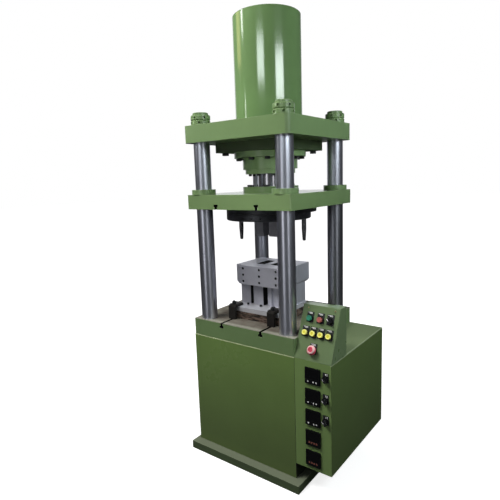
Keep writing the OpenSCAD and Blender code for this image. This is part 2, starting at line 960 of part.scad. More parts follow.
module die_base() {
  color(milled)
  difference() {
    box([-die_base_w / 2, -die_base_front, z_die_base], [die_base_w / 2, die_base_rear, z_riser]);
    at_base_screws() translate([0, 0, -eps]) cylinder(r = screw_d / 2 + hole, h = die_base_t + 2 * eps);
  }
}

module die_bolster() {
  color(brown)
  difference() {
    box([-die_base_w / 2, -die_base_front, bed_top], [die_base_w / 2, die_base_rear, z_die_base]);
    at_base_screws() cylinder(r = screw_d / 2 + seat, h = base_screw_len + eps);
  }
}

// Places children at the two front clamps: origin on the bed, y toward the die
module at_clamps() {
  for (x = [-slot_x, slot_x]) {
    translate([x, -clamp_y - clamp_len, bed_top]) children();
  }
}

module clamp_straps() {
  top = bolster_t + die_base_t + clamp_t;
  color(black)
  at_clamps() difference() {
    translate([-clamp_w / 2, 0, 0]) rotate([90, 0, 90]) linear_extrude(clamp_w) polygon([
      [0, 0], [heel_len, 0], [heel_len, top - clamp_t], [clamp_len, top - clamp_t],
      [clamp_len, top - clamp_ch], [clamp_len - clamp_ch, top], [heel_ch, top], [0, top - heel_ch]
    ]);
    translate([0, stud_y, top - clamp_t - eps]) cylinder(r = stud_d / 2 + hole, h = clamp_t + 2 * eps);
  }
}

module clamp_bolts() {
  top = bolster_t + die_base_t + clamp_t;
  color(black)
  at_clamps() translate([0, stud_y, 0]) {
    cylinder(d = stud_d, h = top + stud_nut_h + stud_over);
    translate([0, 0, -slot_depth + slot_head_h - tee_head_gap])
      cylinder(d = stud_d, h = slot_depth - slot_head_h + 2 * eps);
    translate([-slot_head / 2 + eps, -slot_head / 2 + eps,
               -slot_depth + slot_head_h - tee_head_gap - tee_head_h])
      cube([slot_head - 2 * eps, slot_head - 2 * eps, tee_head_h]);
    translate([0, 0, top]) difference() {
      cylinder(d = stud_nut_af / cos(30), h = stud_nut_h, $fn = 6);
      translate([0, 0, -eps]) cylinder(r = stud_d / 2 + seat, h = stud_nut_h + 2 * eps);
    }
  }
}

// Control cabinet and console

module control_cabinet() {
  color(green)
  difference() {
    box([ctrl_x, front_y, ctrl_floor], [ctrl_x + ctrl_w, bed_d / 2, z_seam]);
    box([ctrl_x - eps, front_y + sheet, ctrl_floor + sheet],
        [ctrl_x + ctrl_w - sheet, bed_d / 2 - sheet, z_seam - sheet]);
    for (i = [0 : unit_n - 1]) {
      at_unit(i) cube([unit_cut, unit_cut, 4 * sheet], center = true);
    }
    for (i = [0 : controller_n - 1]) {
      at_selector(i) cylinder(d = cut_d, h = 4 * sheet, center = true);
    }
    box([ctrl_x + ctrl_open, front_y + ctrl_open, z_seam - 2 * sheet],
        [ctrl_x + ctrl_w - ctrl_open, front_y + cons_d - ctrl_open, z_seam + eps]);
  }
}

module console() {
  slant = sheet / cos(tilt);
  color(green)
  difference() {
    translate([ctrl_x, front_y, z_seam]) rotate([90, 0, 90]) linear_extrude(ctrl_w) polygon([
      [0, 0], [cons_d, 0], [cons_d, cons_h], [cons_d - cons_top_d, cons_h]
    ]);
    translate([ctrl_x + sheet, front_y, z_seam]) rotate([90, 0, 90])
      linear_extrude(ctrl_w - 2 * sheet) polygon([
      [slant, -eps], [cons_d - sheet, -eps], [cons_d - sheet, cons_h - sheet],
      [cons_d - cons_top_d - sheet * tan(tilt) + slant, cons_h - sheet], [slant, 0]
    ]);
    at_buttons() cylinder(d = cut_d, h = 4 * sheet, center = true);
    on_face(col_3, row_1) cylinder(d = cut_d, h = 4 * sheet, center = true);
    on_face(stop_x, row_3) cylinder(d = cut_d, h = 4 * sheet, center = true);
  }
}

// One panel instrument: a square front, a body behind the panel and a sunk window
module instrument() {
  difference() {
    union() {
      translate([-unit / 2, -unit / 2, 0]) cube([unit, unit, unit_proud]);
      translate([-unit_body / 2, -unit_body / 2, -unit_depth]) cube([unit_body, unit_body, unit_depth + eps]);
    }
    translate([-window_w / 2, -window_h / 2 + window_z, unit_proud - window_deep])
      cube([window_w, window_h, window_deep + eps]);
    children();
  }
}

module controllers() {
  color(black)
  for (i = [0 : controller_n - 1]) {
    at_unit(i) {
      instrument();
      for (x = key_x) {
        translate([x, key_z, unit_proud - eps]) cylinder(d = key_d, h = key_proud + eps, $fn = 24);
      }
    }
  }
}

module timers() {
  color(black)
  for (i = [controller_n : unit_n - 1]) {
    at_unit(i) instrument() {
      for (k = [0 : digit_n - 1]) {
        translate([(k - (digit_n - 1) / 2) * digit_pitch - digit_w / 2, digit_z - digit_h / 2,
                   unit_proud - window_deep])
          cube([digit_w, digit_h, window_deep + eps]);
      }
    }
  }
}

// Plate behind one control
module legend(w, h, up) {
  difference() {
    translate([-w / 2, -h / 2 + up, 0]) cube([w, h, plate_1]);
    translate([0, 0, -eps]) cylinder(d = cut_d, h = plate_1 + 2 * eps);
  }
}

module legend_plates() {
  color(black) {
    at_buttons() legend(plate_pw, plate_ph, plate_up);
    on_face(col_3, row_1) legend(plate_pw, plate_ph, plate_up);
    on_face(stop_x, row_3) legend(plate_pw, plate_ph, plate_up);
    for (i = [0 : controller_n - 1]) {
      at_selector(i) legend(sel_plate_w, sel_plate_h, sel_plate_up);
    }
  }
}

// Bezel and threaded tube of one control
module bezel() {
  difference() {
    union() {
      translate([0, 0, plate_1]) cylinder(d = bezel_d, h = bezel_h - plate_1);
      translate([0, 0, -tube_len]) cylinder(d = barrel_tube_d, h = tube_len + plate_1 + eps);
    }
    translate([0, 0, plate_1 + eps]) cylinder(r = cap_d / 2 + cap_gap, h = bezel_h);
    translate([0, 0, -tube_len - eps]) cylinder(r = stem_d / 2 + run, h = tube_len + bezel_h);
  }
}

module button_bezels() {
  color(black) {
    at_buttons() bezel();
    on_face(col_3, row_1) bezel();
    on_face(stop_x, row_3) bezel();
    for (i = [0 : controller_n - 1]) {
      at_selector(i) bezel();
    }
  }
}

// Moving cap and stem of a push button
module push_cap() {
  translate([0, 0, -stem_len]) cylinder(d = stem_d, h = stem_len + cap_z + eps);
  translate([0, 0, cap_z]) rotate_extrude() polygon([
    [0, 0], [cap_d / 2, 0], [cap_d / 2, cap_h - cap_ch], [cap_d / 2 - cap_ch, cap_h],
    [dish_d / 2, cap_h], [dish_d / 2 - dish_t, cap_h - dish_t], [0, cap_h - dish_t]
  ]);
}

// Rotary knob with a raised bar handle, turned to its left position
module selector_knob() {
  translate([0, 0, -stem_len]) cylinder(d = stem_d, h = stem_len + knob_z + eps);
  translate([0, 0, knob_z]) cylinder(d = cap_d, h = knob_h);
  rotate(knob_turn) intersection() {
    translate([-bar_w / 2, -cap_d / 2, knob_z]) cube([bar_w, cap_d, knob_h + bar_h]);
    translate([0, 0, knob_z]) cylinder(d = cap_d, h = knob_h + bar_h);
  }
}

module green_button() {
  color(cap_green) on_face(col_1, row_1) push_cap();
}

module red_button() {
  color(cap_red) on_face(col_2, row_1) push_cap();
}

module yellow_button(i) {
  color(cap_yellow) on_face(yellow_x + i * yellow_p, row_2) push_cap();
}

module emergency_stop() {
  color(stop_red)
  on_face(stop_x, row_3) {
    translate([0, 0, -stem_len]) cylinder(d = stem_d, h = stem_len + stop_z + eps);
    translate([0, 0, stop_z]) rotate_extrude() polygon([
      [0, 0], [stop_d / 2 - stop_ch, 0], [stop_d / 2, stop_ch], [stop_d / 2, stop_rim - stop_ch],
      [stop_d / 2 - stop_edge, stop_rim + stop_ch], [stop_d / 3, stop_rim + stop_dome - stop_flat],
      [stop_eye_d / 2, stop_rim + stop_dome],
      [stop_eye_d / 2 - stop_eye_t, stop_rim + stop_dome - stop_eye_t],
      [0, stop_rim + stop_dome - stop_eye_t]
    ]);
  }
}

module console_selector() {
  color(black) on_face(col_3, row_1) selector_knob();
}

module panel_selector(i) {
  color(black) at_selector(i) selector_knob();
}

// Power pack inside the cabinet

module oil_tank() {
  color(dark_green)
  difference() {
    box([-tank_w / 2, tank_y - tank_d / 2, base_t], [tank_w / 2, tank_y + tank_d / 2, z_lid]);
    box([-tank_w / 2 + tank_wall, tank_y - tank_d / 2 + tank_wall, base_t + tank_wall],
        [tank_w / 2 - tank_wall, tank_y + tank_d / 2 - tank_wall, z_lid + eps]);
  }
}

module tank_lid() {
  color(dark_green)
  difference() {
    box([-tank_w / 2 - lid_lap, tank_y - tank_d / 2 - lid_lap, z_lid],
        [tank_w / 2 + lid_lap, tank_y + tank_d / 2 + lid_lap, z_pack]);
    translate([motor_x, tank_y, z_lid - eps]) cylinder(r = spigot_d / 2 + seat, h = lid_t + 2 * eps);
  }
}

module pump_motor() {
  color(motor_grey)
  translate([motor_x, tank_y, z_pack]) {
    cylinder(d = motor_flange_d, h = motor_flange_t);
    cylinder(d = motor_d, h = motor_h);
    for (i = [0 : motor_fins - 1]) {
      rotate(i * 360 / motor_fins) translate([motor_d / 2 - fin_root, -fin_w / 2, 2 * motor_flange_t])
        cube([fin_h + fin_root, fin_w, motor_h - 4 * motor_flange_t]);
    }
    translate([-box_w / 2, -motor_d / 2 - box_reach, motor_h / 2 - box_h / 2])
      cube([box_w, motor_d / 2, box_h]);
  }
}

module gear_pump() {
  color(alloy)
  translate([motor_x, tank_y, z_lid]) {
    cylinder(d = spigot_d, h = lid_t);
    translate([-pump_w / 2, -pump_d / 2, -pump_h]) cube([pump_w, pump_d, pump_h]);
    translate([0, 0, -pump_h - strainer_h]) cylinder(d = strainer_d, h = strainer_h + eps);
  }
}

module valve_block() {
  color(alloy)
  translate([valve_x, tank_y, z_pack]) difference() {
    translate([-valve_w / 2, -valve_d / 2, 0]) cube([valve_w, valve_d, valve_h]);
    translate([-valve_w / 2, pipe_y1 - tank_y, pipe_z1 - z_pack]) rotate([0, 90, 0])
      cylinder(d = port_bore, h = valve_w / 2);
    translate([-valve_w / 2, pipe_y2 - tank_y, pipe_z2 - z_pack]) rotate([0, 90, 0])
      cylinder(d = port_bore, h = valve_w / 2);
  }
}

module solenoid_valves() {
  color(black)
  for (i = [0 : valve_n - 1]) {
    translate([valve_x, tank_y + (i - (valve_n - 1) / 2) * valve_pitch, z_pack + valve_h]) {
      translate([-valve_body / 2, -valve_body / 2, 0]) cube([valve_body, valve_body, valve_body]);
      translate([valve_body / 2 - eps, 0, valve_body / 2]) rotate([0, 90, 0])
        cylinder(d = solenoid_d, h = solenoid_len);
    }
  }
}

// Ram, platen and upper tool

module ram_rod() {
  color(ground)
  union() {
    translate([0, 0, z_platen_top]) cylinder(d = rod_d, h = z_piston - z_platen_top);
    translate([0, 0, z_piston]) cylinder(d = piston_neck_d, h = piston_h);
  }
}

module piston() {
  r = bore_d / 2 - run;
  color(steel)
  translate([0, 0, z_piston]) rotate_extrude() polygon([
    [piston_neck_d / 2 + seat, 0], [r, 0],
    [r, piston_h / 3 - groove_w / 2], [r - groove_d, piston_h / 3 - groove_w / 2],
    [r - groove_d, piston_h / 3 + groove_w / 2], [r, piston_h / 3 + groove_w / 2],
    [r, piston_h * 2 / 3 - groove_w / 2], [r - groove_d, piston_h * 2 / 3 - groove_w / 2],
    [r - groove_d, piston_h * 2 / 3 + groove_w / 2], [r, piston_h * 2 / 3 + groove_w / 2],
    [r, piston_h], [piston_neck_d / 2 + seat, piston_h]
  ]);
}

module platen() {
  color(green)
  difference() {
    translate([0, 0, z_platen]) block(platen_w, platen_d, platen_t, edge_r);
    at_columns() translate([0, 0, z_platen - eps]) cylinder(r = bush_d / 2 + seat, h = platen_t + 2 * eps);
    translate([0, 0, z_platen]) mirror([0, 0, 1]) tee_slots(platen_d);
    translate([0, 0, z_platen_top - ram_bolt_reach]) ring_of(ram_bolt_n, ram_bolt_pcd, 180 / ram_bolt_n)
      cylinder(r = ram_bolt_d / 2 + seat, h = ram_bolt_reach + eps);
  }
}

module ram_flange() {
  color(green)
  difference() {
    translate([0, 0, z_platen_top]) cylinder(d = ram_flange_d, h = ram_flange_t);
    translate([0, 0, z_platen_top - eps]) cylinder(r = rod_d / 2 + seat, h = ram_flange_t + 2 * eps);
    translate([0, 0, z_platen_top - eps]) ring_of(ram_bolt_n, ram_bolt_pcd, 180 / ram_bolt_n)
      cylinder(r = ram_bolt_d / 2 + hole, h = ram_flange_t + 2 * eps);
  }
}

module ram_bolts() {
  color(black)
  translate([0, 0, z_platen_top + ram_flange_t]) ring_of(ram_bolt_n, ram_bolt_pcd, 180 / ram_bolt_n)
    rotate([180, 0, 0]) hex_bolt(ram_bolt_d, ram_bolt_af, ram_bolt_head, ram_flange_t + ram_bolt_reach - eps);
}

module guide_bushes() {
  color(green)
  at_columns() difference() {
    union() {
      translate([0, 0, z_platen]) cylinder(d = bush_d, h = platen_t);
      translate([0, 0, z_platen_top]) cylinder(d = bush_collar_d, h = bush_collar_h);
    }
    translate([0, 0, z_platen - eps]) cylinder(r = col_d / 2 + run, h = platen_t + bush_collar_h + 2 * eps);
  }
}

// Places children at the four tee bolts of the adapter disc
module at_disc_bolts() {
  for (x = [-slot_x, slot_x], y = [-disc_bolt_y, disc_bolt_y]) {
    translate([x, y, 0]) children();
  }
}

// Places children at the two guide pins, opposite each other, on the underside of the disc
module at_pins() {
  for (side = [-1, 1]) {
    translate([side * pin_x, side * pin_y, z_disc]) children();
  }
}

module adapter_disc() {
  color(disc_grey)
  difference() {
    union() {
      translate([0, -disc_fwd, z_disc]) rotate_extrude() polygon([
        [0, 0], [disc_d / 2 - disc_ch, 0], [disc_d / 2, disc_ch],
        [disc_d / 2, disc_h - disc_rim_t + eps], [0, disc_h - disc_rim_t + eps]
      ]);
      translate([0, 0, z_platen - disc_rim_t]) cylinder(d = disc_rim_d, h = disc_rim_t);
    }
    at_disc_bolts() {
      translate([0, 0, z_disc - eps]) cylinder(d = disc_cb_d, h = disc_cb + eps);
      translate([0, 0, z_disc]) cylinder(r = disc_bolt_d / 2 + hole, h = disc_h + eps);
    }
    at_pins() translate([0, 0, -eps]) cylinder(r = pin_d / 2 + seat, h = pin_root + eps);
    for (i = [0 : side_hole_n - 1]) {
      translate([0, -disc_fwd, z_disc + side_hole_z]) rotate(side_hole_first + i * side_hole_step)
        translate([disc_d / 2 - side_hole_depth, 0, 0])
          rotate([0, 90, 0]) cylinder(d = side_hole_d, h = side_hole_depth + eps, $fn = 24);
    }
    at_holder_screws() cylinder(r = holder_screw_d / 2 + seat, h = holder_screw_reach);
  }
}

// Places children at the punch studs, on the underside of the disc
module at_holder_screws() {
  for (x = [-holder_screw_x, holder_screw_x], y = [-holder_screw_y, holder_screw_y]) {
    translate([x, y, z_disc]) children();
  }
}

module disc_bolts() {
  head_z = z_platen + slot_depth - slot_head_h + tee_head_gap;
  color(black)
  at_disc_bolts() {
    translate([0, 0, z_disc + disc_bolt_up])
      cylinder(d = disc_bolt_d, h = head_z - z_disc - disc_bolt_up + eps);
    translate([-slot_head / 2 + eps, -slot_head / 2 + eps, head_z])
      cube([slot_head - 2 * eps, slot_head - 2 * eps, tee_head_h]);
    translate([0, 0, z_disc + disc_cb - disc_nut_h]) difference() {
      cylinder(d = disc_nut_af / cos(30), h = disc_nut_h, $fn = 6);
      translate([0, 0, -eps]) cylinder(r = disc_bolt_d / 2 + seat, h = disc_nut_h + 2 * eps);
    }
  }
}

module guide_pins() {
  color(steel)
  at_pins() translate([0, 0, -pin_len]) rotate_extrude() polygon([
    [0, 0], [pin_tip_d / 2 - pin_ch, 0], [pin_tip_d / 2, pin_ch], [pin_d / 2, pin_taper],
    [pin_d / 2, pin_len + pin_root], [0, pin_len + pin_root]
  ]);
}

module punch() {
  color(steel)
  union() {
    box([-punch_x - punch_w / 2 - holder_lip, -punch_l / 2 - holder_lip, z_disc - holder_t],
        [punch_x + punch_w / 2 + holder_lip, punch_l / 2 + holder_lip, z_disc]);
    for (x = [-punch_x, punch_x]) {
      box([x - punch_w / 2, -punch_l / 2, z_disc - punch_h],
          [x + punch_w / 2, punch_l / 2, z_disc - holder_t + eps]);
    }
    at_holder_screws() translate([0, 0, -eps]) cylinder(d = holder_screw_d, h = holder_screw_reach);
  }
}

base_plate();
cabinet();
rear_cover();
cover_screws();
bed();
columns();
column_nuts();
foot_nuts();
crown();
cylinder_barrel();
cylinder_bolts();
gland_head();
gland_bolts();
gland_ring();
gland_ring_screws();
rod_bush();
rod_packing();
pressure_pipe();
return_pipe();
die_body();
die_front_plate();
die_screws();
die_risers();
die_base();
die_bolster();
clamp_straps();
clamp_bolts();
control_cabinet();
console();
controllers();
timers();
legend_plates();
button_bezels();
oil_tank();
tank_lid();
pump_motor();
gear_pump();
valve_block();
solenoid_valves();
ram_rod();
piston();
platen();
ram_flange();
ram_bolts();
guide_bushes();
adapter_disc();
disc_bolts();
guide_pins();
punch();
green_button();
red_button();
yellow_button(0);  // yellow_button_1
yellow_button(1);  // yellow_button_2
yellow_button(2);  // yellow_button_3
yellow_button(3);  // yellow_button_4
emergency_stop();
console_selector();
panel_selector(0);  // panel_selector_1
panel_selector(1);  // panel_selector_2
panel_selector(2);  // panel_selector_3
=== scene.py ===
# %% [markdown]
# # A four-column hydraulic press
# This lesson dresses a finished set of machine parts. The solids come in as a fixed frame,
# already in metres and in place. Each step gives one kind of surface its look, or adds small
# pieces that are too thin to be solids. Read it from top to bottom; most cells print what they
# made. Lengths are in metres, unless a comment says millimetres.

# %% Load the frame
import json
from math import cos, sin, radians, pi

import bmesh
import bpy
from mathutils import Matrix, Vector


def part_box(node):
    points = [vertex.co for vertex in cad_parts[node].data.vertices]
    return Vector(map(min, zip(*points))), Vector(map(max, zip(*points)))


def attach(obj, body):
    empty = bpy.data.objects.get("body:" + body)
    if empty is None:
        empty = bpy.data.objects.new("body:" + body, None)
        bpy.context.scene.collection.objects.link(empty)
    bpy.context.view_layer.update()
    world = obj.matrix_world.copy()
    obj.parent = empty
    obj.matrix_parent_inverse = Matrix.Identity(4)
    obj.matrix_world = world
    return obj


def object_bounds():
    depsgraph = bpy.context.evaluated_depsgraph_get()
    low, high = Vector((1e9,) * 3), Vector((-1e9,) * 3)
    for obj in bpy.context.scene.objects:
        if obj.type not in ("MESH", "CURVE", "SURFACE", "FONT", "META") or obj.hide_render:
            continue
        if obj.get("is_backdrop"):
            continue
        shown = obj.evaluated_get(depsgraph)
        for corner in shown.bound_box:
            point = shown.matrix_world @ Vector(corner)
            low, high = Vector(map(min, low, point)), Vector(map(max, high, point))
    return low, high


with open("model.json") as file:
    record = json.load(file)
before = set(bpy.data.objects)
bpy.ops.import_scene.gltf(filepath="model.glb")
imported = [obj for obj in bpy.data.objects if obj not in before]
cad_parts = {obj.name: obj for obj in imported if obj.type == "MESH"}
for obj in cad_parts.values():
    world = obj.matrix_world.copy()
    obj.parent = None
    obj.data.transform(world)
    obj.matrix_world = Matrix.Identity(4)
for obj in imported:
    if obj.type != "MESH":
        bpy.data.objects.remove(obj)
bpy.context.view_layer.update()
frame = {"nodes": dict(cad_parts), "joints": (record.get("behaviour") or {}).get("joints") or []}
nodes = frame["nodes"]
scene = bpy.context.scene
scene.view_settings.view_transform = "Standard"

# %% [markdown]
# ## The camera
# The view was found by solving for the lens and the position that put the press's straight
# edges where they are seen. It stands to the right of the machine at eye height,
# looks slightly down, and leans by about two degrees, as a hand-held camera does. Rotation
# angles could be typed in, but three axes written as a matrix keep that lean exact.

# %% Camera
EYE = Vector((1.2914, -1.8934, 1.4061))
TURN, DOWN, LEAN = radians(37.19), radians(8.91), radians(-1.93)
FOCAL_PX, IMAGE_PX, SENSOR_MM = 448.08, 500.0, 36.0
SIGHT = 60.0

ahead = Vector((-sin(TURN) * cos(DOWN), cos(TURN) * cos(DOWN), -sin(DOWN)))
level = Vector((cos(TURN), sin(TURN), 0.0))
upright = level.cross(ahead)
side = level * cos(LEAN) + upright * sin(LEAN)
top = upright * cos(LEAN) - level * sin(LEAN)

lens = bpy.data.cameras.new("eye_height_camera")
lens.lens = SENSOR_MM * FOCAL_PX / IMAGE_PX
lens.sensor_width = SENSOR_MM
lens.clip_end = SIGHT
camera = bpy.data.objects.new("eye_height_camera", lens)
camera.matrix_world = Matrix((
    (side.x, top.x, -ahead.x, EYE.x),
    (side.y, top.y, -ahead.y, EYE.y),
    (side.z, top.z, -ahead.z, EYE.z),
    (0.0, 0.0, 0.0, 1.0),
))
scene.collection.objects.link(camera)
scene.camera = camera
print("lens:", round(lens.lens, 2), "mm")

# %% [markdown]
# ## Shared effects as node groups
# Paint, steel and plastic share a few effects: rounding and rubbing along edges, slow blotches
# of colour, fine tool lines, and masks that pick out a place. Each could be rebuilt in every
# material, but as a node group with named inputs one recipe serves them all. Groups hand out
# only colours, masks, heights and normals; the shader itself stays in each material.

# %% Helpers for node groups
def new_group(name, inputs, outputs):
    """An empty node group with typed sockets; returns the tree and its two end nodes."""
    tree = bpy.data.node_groups.new(name, "ShaderNodeTree")
    for label, kind, value in inputs:
        socket = tree.interface.new_socket(label, in_out="INPUT", socket_type="NodeSocket" + kind)
        socket.default_value = value
    for label, kind in outputs:
        tree.interface.new_socket(label, in_out="OUTPUT", socket_type="NodeSocket" + kind)
    return tree, tree.nodes.new("NodeGroupInput"), tree.nodes.new("NodeGroupOutput")


def put(tree, kind, values=None, **links):
    """Adds a node, sets plain values by socket name or index, and links inputs by name or as i0, i1, i2."""
    node = tree.nodes.new("ShaderNode" + kind)
    for key, value in (values or {}).items():
        if isinstance(key, str) and hasattr(node, key) and key not in node.inputs:
            setattr(node, key, value)
        else:
            node.inputs[key].default_value = value
    for key, source in links.items():
        by_number = key[0] == "i" and key[1:].isdigit()
        tree.links.new(source, node.inputs[int(key[1:]) if by_number else key.replace("_", " ")])
    return node


def mix_colour(tree, factor, first, second):
    """A colour mix; each end may be a socket or a colour."""
    node = tree.nodes.new("ShaderNodeMix")
    node.data_type = "RGBA"
    for index, end in ((0, factor), (6, first), (7, second)):
        if isinstance(end, bpy.types.NodeSocket):
            tree.links.new(end, node.inputs[index])
        else:
            node.inputs[index].default_value = end
    return node.outputs[2]


def ramp(tree, source, low, high, to_low=0.0, to_high=1.0):
    """Maps a value range onto another, clamped."""
    node = put(tree, "MapRange", {1: low, 2: high, 3: to_low, 4: to_high}, i0=source)
    return node.outputs[0]


print("helpers ready")

# %% [markdown]
# ### Rounded and rubbed edges
# No machined edge is a knife edge: it is broken with a file, and paint wears thin on it.
# Rounding every edge in the mesh would cost many faces, and the solids must not change. A
# Bevel node bends the normal near an edge instead. Where the bent normal leaves the flat one
# there is an edge, and noise breaks that mask up into rubbed places.

# %% Edge rounding and rubbing
def build_edge_group():
    """Rounded shading at edges, and a mask of where paint rubs through."""
    tree, start, end = new_group(
        "rubbed_edges",
        [("Radius", "Float", 0.002), ("Amount", "Float", 1.0), ("Break Up", "Float", 60.0)],
        [("Mask", "Float"), ("Normal", "Vector")],
    )
    bevel = put(tree, "Bevel", {"samples": 4}, Radius=start.outputs["Radius"])
    face = put(tree, "NewGeometry")
    dot = put(tree, "VectorMath", {"operation": "DOT_PRODUCT"},
              i0=bevel.outputs[0], i1=face.outputs["True Normal"])
    bend = ramp(tree, dot.outputs["Value"], 0.995, 0.80)
    place = put(tree, "TexCoord")
    noise = put(tree, "TexNoise", {"Detail": 4.0},
                Vector=place.outputs["Object"], Scale=start.outputs["Break Up"])
    patch = ramp(tree, noise.outputs[0], 0.45, 0.62)
    worn = put(tree, "Math", {"operation": "MULTIPLY"}, i0=bend, i1=patch)
    mask = put(tree, "Math", {"operation": "MULTIPLY", "use_clamp": True},
               i0=worn.outputs[0], i1=start.outputs["Amount"])
    tree.links.new(mask.outputs[0], end.inputs["Mask"])
    tree.links.new(bevel.outputs[0], end.inputs["Normal"])
    return tree


rubbed_edges = build_edge_group()
print("group:", rubbed_edges.name)

# %% [markdown]
# ### Blotches and grain
# Sprayed paint and worked steel change slowly in tone over a hand's width, and have a fine
# skin. A painted picture would need unwrapping. Noise in object coordinates needs none and
# never repeats, so one group gives the blotchy colour, its mask and a grain for bumps.

# %% Slow blotches and fine grain
def build_blotch_group():
    """Slow changes of tone over a surface, and a fine grain for bumps."""
    tree, start, end = new_group(
        "blotches",
        [("Colour", "Color", (0.2, 0.2, 0.2, 1)), ("Second", "Color", (0.1, 0.1, 0.1, 1)),
         ("Size", "Float", 3.0), ("Grain", "Float", 900.0)],
        [("Colour", "Color"), ("Mask", "Float"), ("Grain", "Float")],
    )
    place = put(tree, "TexCoord")
    slow = put(tree, "TexNoise", {"Detail": 6.0, "Roughness": 0.62},
               Vector=place.outputs["Object"], Scale=start.outputs["Size"])
    mask = ramp(tree, slow.outputs[0], 0.35, 0.70)
    fine = put(tree, "TexNoise", {"Detail": 2.0},
               Vector=place.outputs["Object"], Scale=start.outputs["Grain"])
    colour = mix_colour(tree, mask, start.outputs["Colour"], start.outputs["Second"])
    tree.links.new(colour, end.inputs["Colour"])
    tree.links.new(mask, end.inputs["Mask"])
    tree.links.new(fine.outputs[0], end.inputs["Grain"])
    return tree


blotches = build_blotch_group()
print("group:", blotches.name)

# %% [markdown]
# ### Tool lines
# A cutter or a grinding wheel leaves fine lines in one direction. They could be cut into the
# mesh, but they are far thinner than a pixel. Noise that is squeezed along one axis gives the
# same streaks, and the same group also serves as rings on turned parts and layers in rust.

# %% Tool lines
def build_line_group():
    """Fine parallel lines left by a cutter or a grinding wheel: noise squeezed along one way."""
    tree, start, end = new_group(
        "tool_lines",
        [("Stretch", "Vector", (40.0, 40.0, 2000.0)), ("Low", "Float", 0.3), ("High", "Float", 0.7)],
        [("Lines", "Float")],
    )
    place = put(tree, "TexCoord")
    squeeze = put(tree, "VectorMath", {"operation": "MULTIPLY"},
                  i0=place.outputs["Object"], i1=start.outputs["Stretch"])
    noise = put(tree, "TexNoise", {"Scale": 1.0, "Detail": 3.0}, Vector=squeeze.outputs[0])
    lines = put(tree, "MapRange", {3: 0.0, 4: 1.0},
                i0=noise.outputs[0], i1=start.outputs["Low"], i2=start.outputs["High"])
    tree.links.new(lines.outputs[0], end.inputs["Lines"])
    return tree


tool_lines = build_line_group()
print("group:", tool_lines.name)

# %% [markdown]
# ### Masks by place
# Some places are coloured apart from the rest: dirt and painted shade in a slot, painted shade
# under a flange, a painted highlight ring on a cap. The solids stay whole, so no separate face can
# carry that look. A mask worked out from where a point lies does it: inside a box, or within a
# radius of an axis.

# %% Masks by place
def build_box_group():
    """1 inside a box given by its two corners, 0 outside, with a soft border."""
    tree, start, end = new_group(
        "inside_box",
        [("Low", "Vector", (0.0, 0.0, 0.0)), ("High", "Vector", (1.0, 1.0, 1.0)),
         ("Border", "Float", 0.002)],
        [("Mask", "Float")],
    )
    place = put(tree, "TexCoord")
    spot = place.outputs["Object"]
    above = put(tree, "VectorMath", {"operation": "SUBTRACT"}, i0=spot, i1=start.outputs["Low"])
    below = put(tree, "VectorMath", {"operation": "SUBTRACT"}, i0=start.outputs["High"], i1=spot)
    least = put(tree, "VectorMath", {"operation": "MINIMUM"}, i0=above.outputs[0], i1=below.outputs[0])
    parts = put(tree, "SeparateXYZ", i0=least.outputs[0])
    first = put(tree, "Math", {"operation": "MINIMUM"}, i0=parts.outputs[0], i1=parts.outputs[1])
    depth = put(tree, "Math", {"operation": "MINIMUM"}, i0=first.outputs[0], i1=parts.outputs[2])
    mask = put(tree, "MapRange", {1: 0.0, 3: 0.0, 4: 1.0}, i0=depth.outputs[0], i2=start.outputs["Border"])
    tree.links.new(mask.outputs[0], end.inputs["Mask"])
    return tree


def build_ring_group():
    """1 within a radius of an axis, 0 outside: for things turned round a centre line."""
    tree, start, end = new_group(
        "inside_radius",
        [("Centre", "Vector", (0.0, 0.0, 0.0)), ("Axis", "Vector", (0.0, 0.0, 1.0)),
         ("Radius", "Float", 0.01)],
        [("Mask", "Float")],
    )
    place = put(tree, "TexCoord")
    arm = put(tree, "VectorMath", {"operation": "SUBTRACT"},
              i0=place.outputs["Object"], i1=start.outputs["Centre"])
    swing = put(tree, "VectorMath", {"operation": "CROSS_PRODUCT"},
                i0=arm.outputs[0], i1=start.outputs["Axis"])
    reach = put(tree, "VectorMath", {"operation": "LENGTH"}, i0=swing.outputs[0])
    inner = put(tree, "Math", {"operation": "SUBTRACT"},
                i0=start.outputs["Radius"], i1=reach.outputs["Value"])
    mask = ramp(tree, inner.outputs[0], -0.0002, 0.0002)
    tree.links.new(mask, end.inputs["Mask"])
    return tree


inside_box = build_box_group()
inside_radius = build_ring_group()
print("groups:", inside_box.name, inside_radius.name)

# %% [markdown]
# ## Materials
# A material here is a Principled shader with a colour that changes over the surface, a
# roughness that changes with wear, and a normal that carries rounding and grain. Values that
# are the same everywhere are set straight on the shader, which is simpler than a node.

# %% Material starter
def new_material(name, roughness=0.5, metallic=0.0, coat=0.0, coat_roughness=0.1):
    """A material with an empty Principled shader; returns material, tree and shader."""
    material = bpy.data.materials.new(name)
    material.use_nodes = True
    tree = material.node_tree
    shader = tree.nodes["Principled BSDF"]
    shader.inputs["Roughness"].default_value = roughness
    shader.inputs["Metallic"].default_value = metallic
    shader.inputs["Coat Weight"].default_value = coat
    shader.inputs["Coat Roughness"].default_value = coat_roughness
    return material, tree, shader


def place_group(tree, group, **values):
    """Places a node group in a material with its own values."""
    node = tree.nodes.new("ShaderNodeGroup")
    node.node_tree = group
    for key, value in values.items():
        node.inputs[key.replace("_", " ")].default_value = value
    return node


def bump(tree, shader, height, strength, distance, normal):
    """Feeds a height into the shader's normal, on top of another normal."""
    node = put(tree, "Bump", {"Strength": strength, "Distance": distance}, Height=height, Normal=normal)
    tree.links.new(node.outputs[0], shader.inputs["Normal"])


def rgb(r, g, b):
    """A colour in the four numbers that Blender wants."""
    return (r, g, b, 1.0)


def times(colour, factor):
    """The same colour made darker or lighter."""
    return tuple(min(1.0, c * factor) for c in colour[:3]) + (1.0,)


print("material helpers ready")

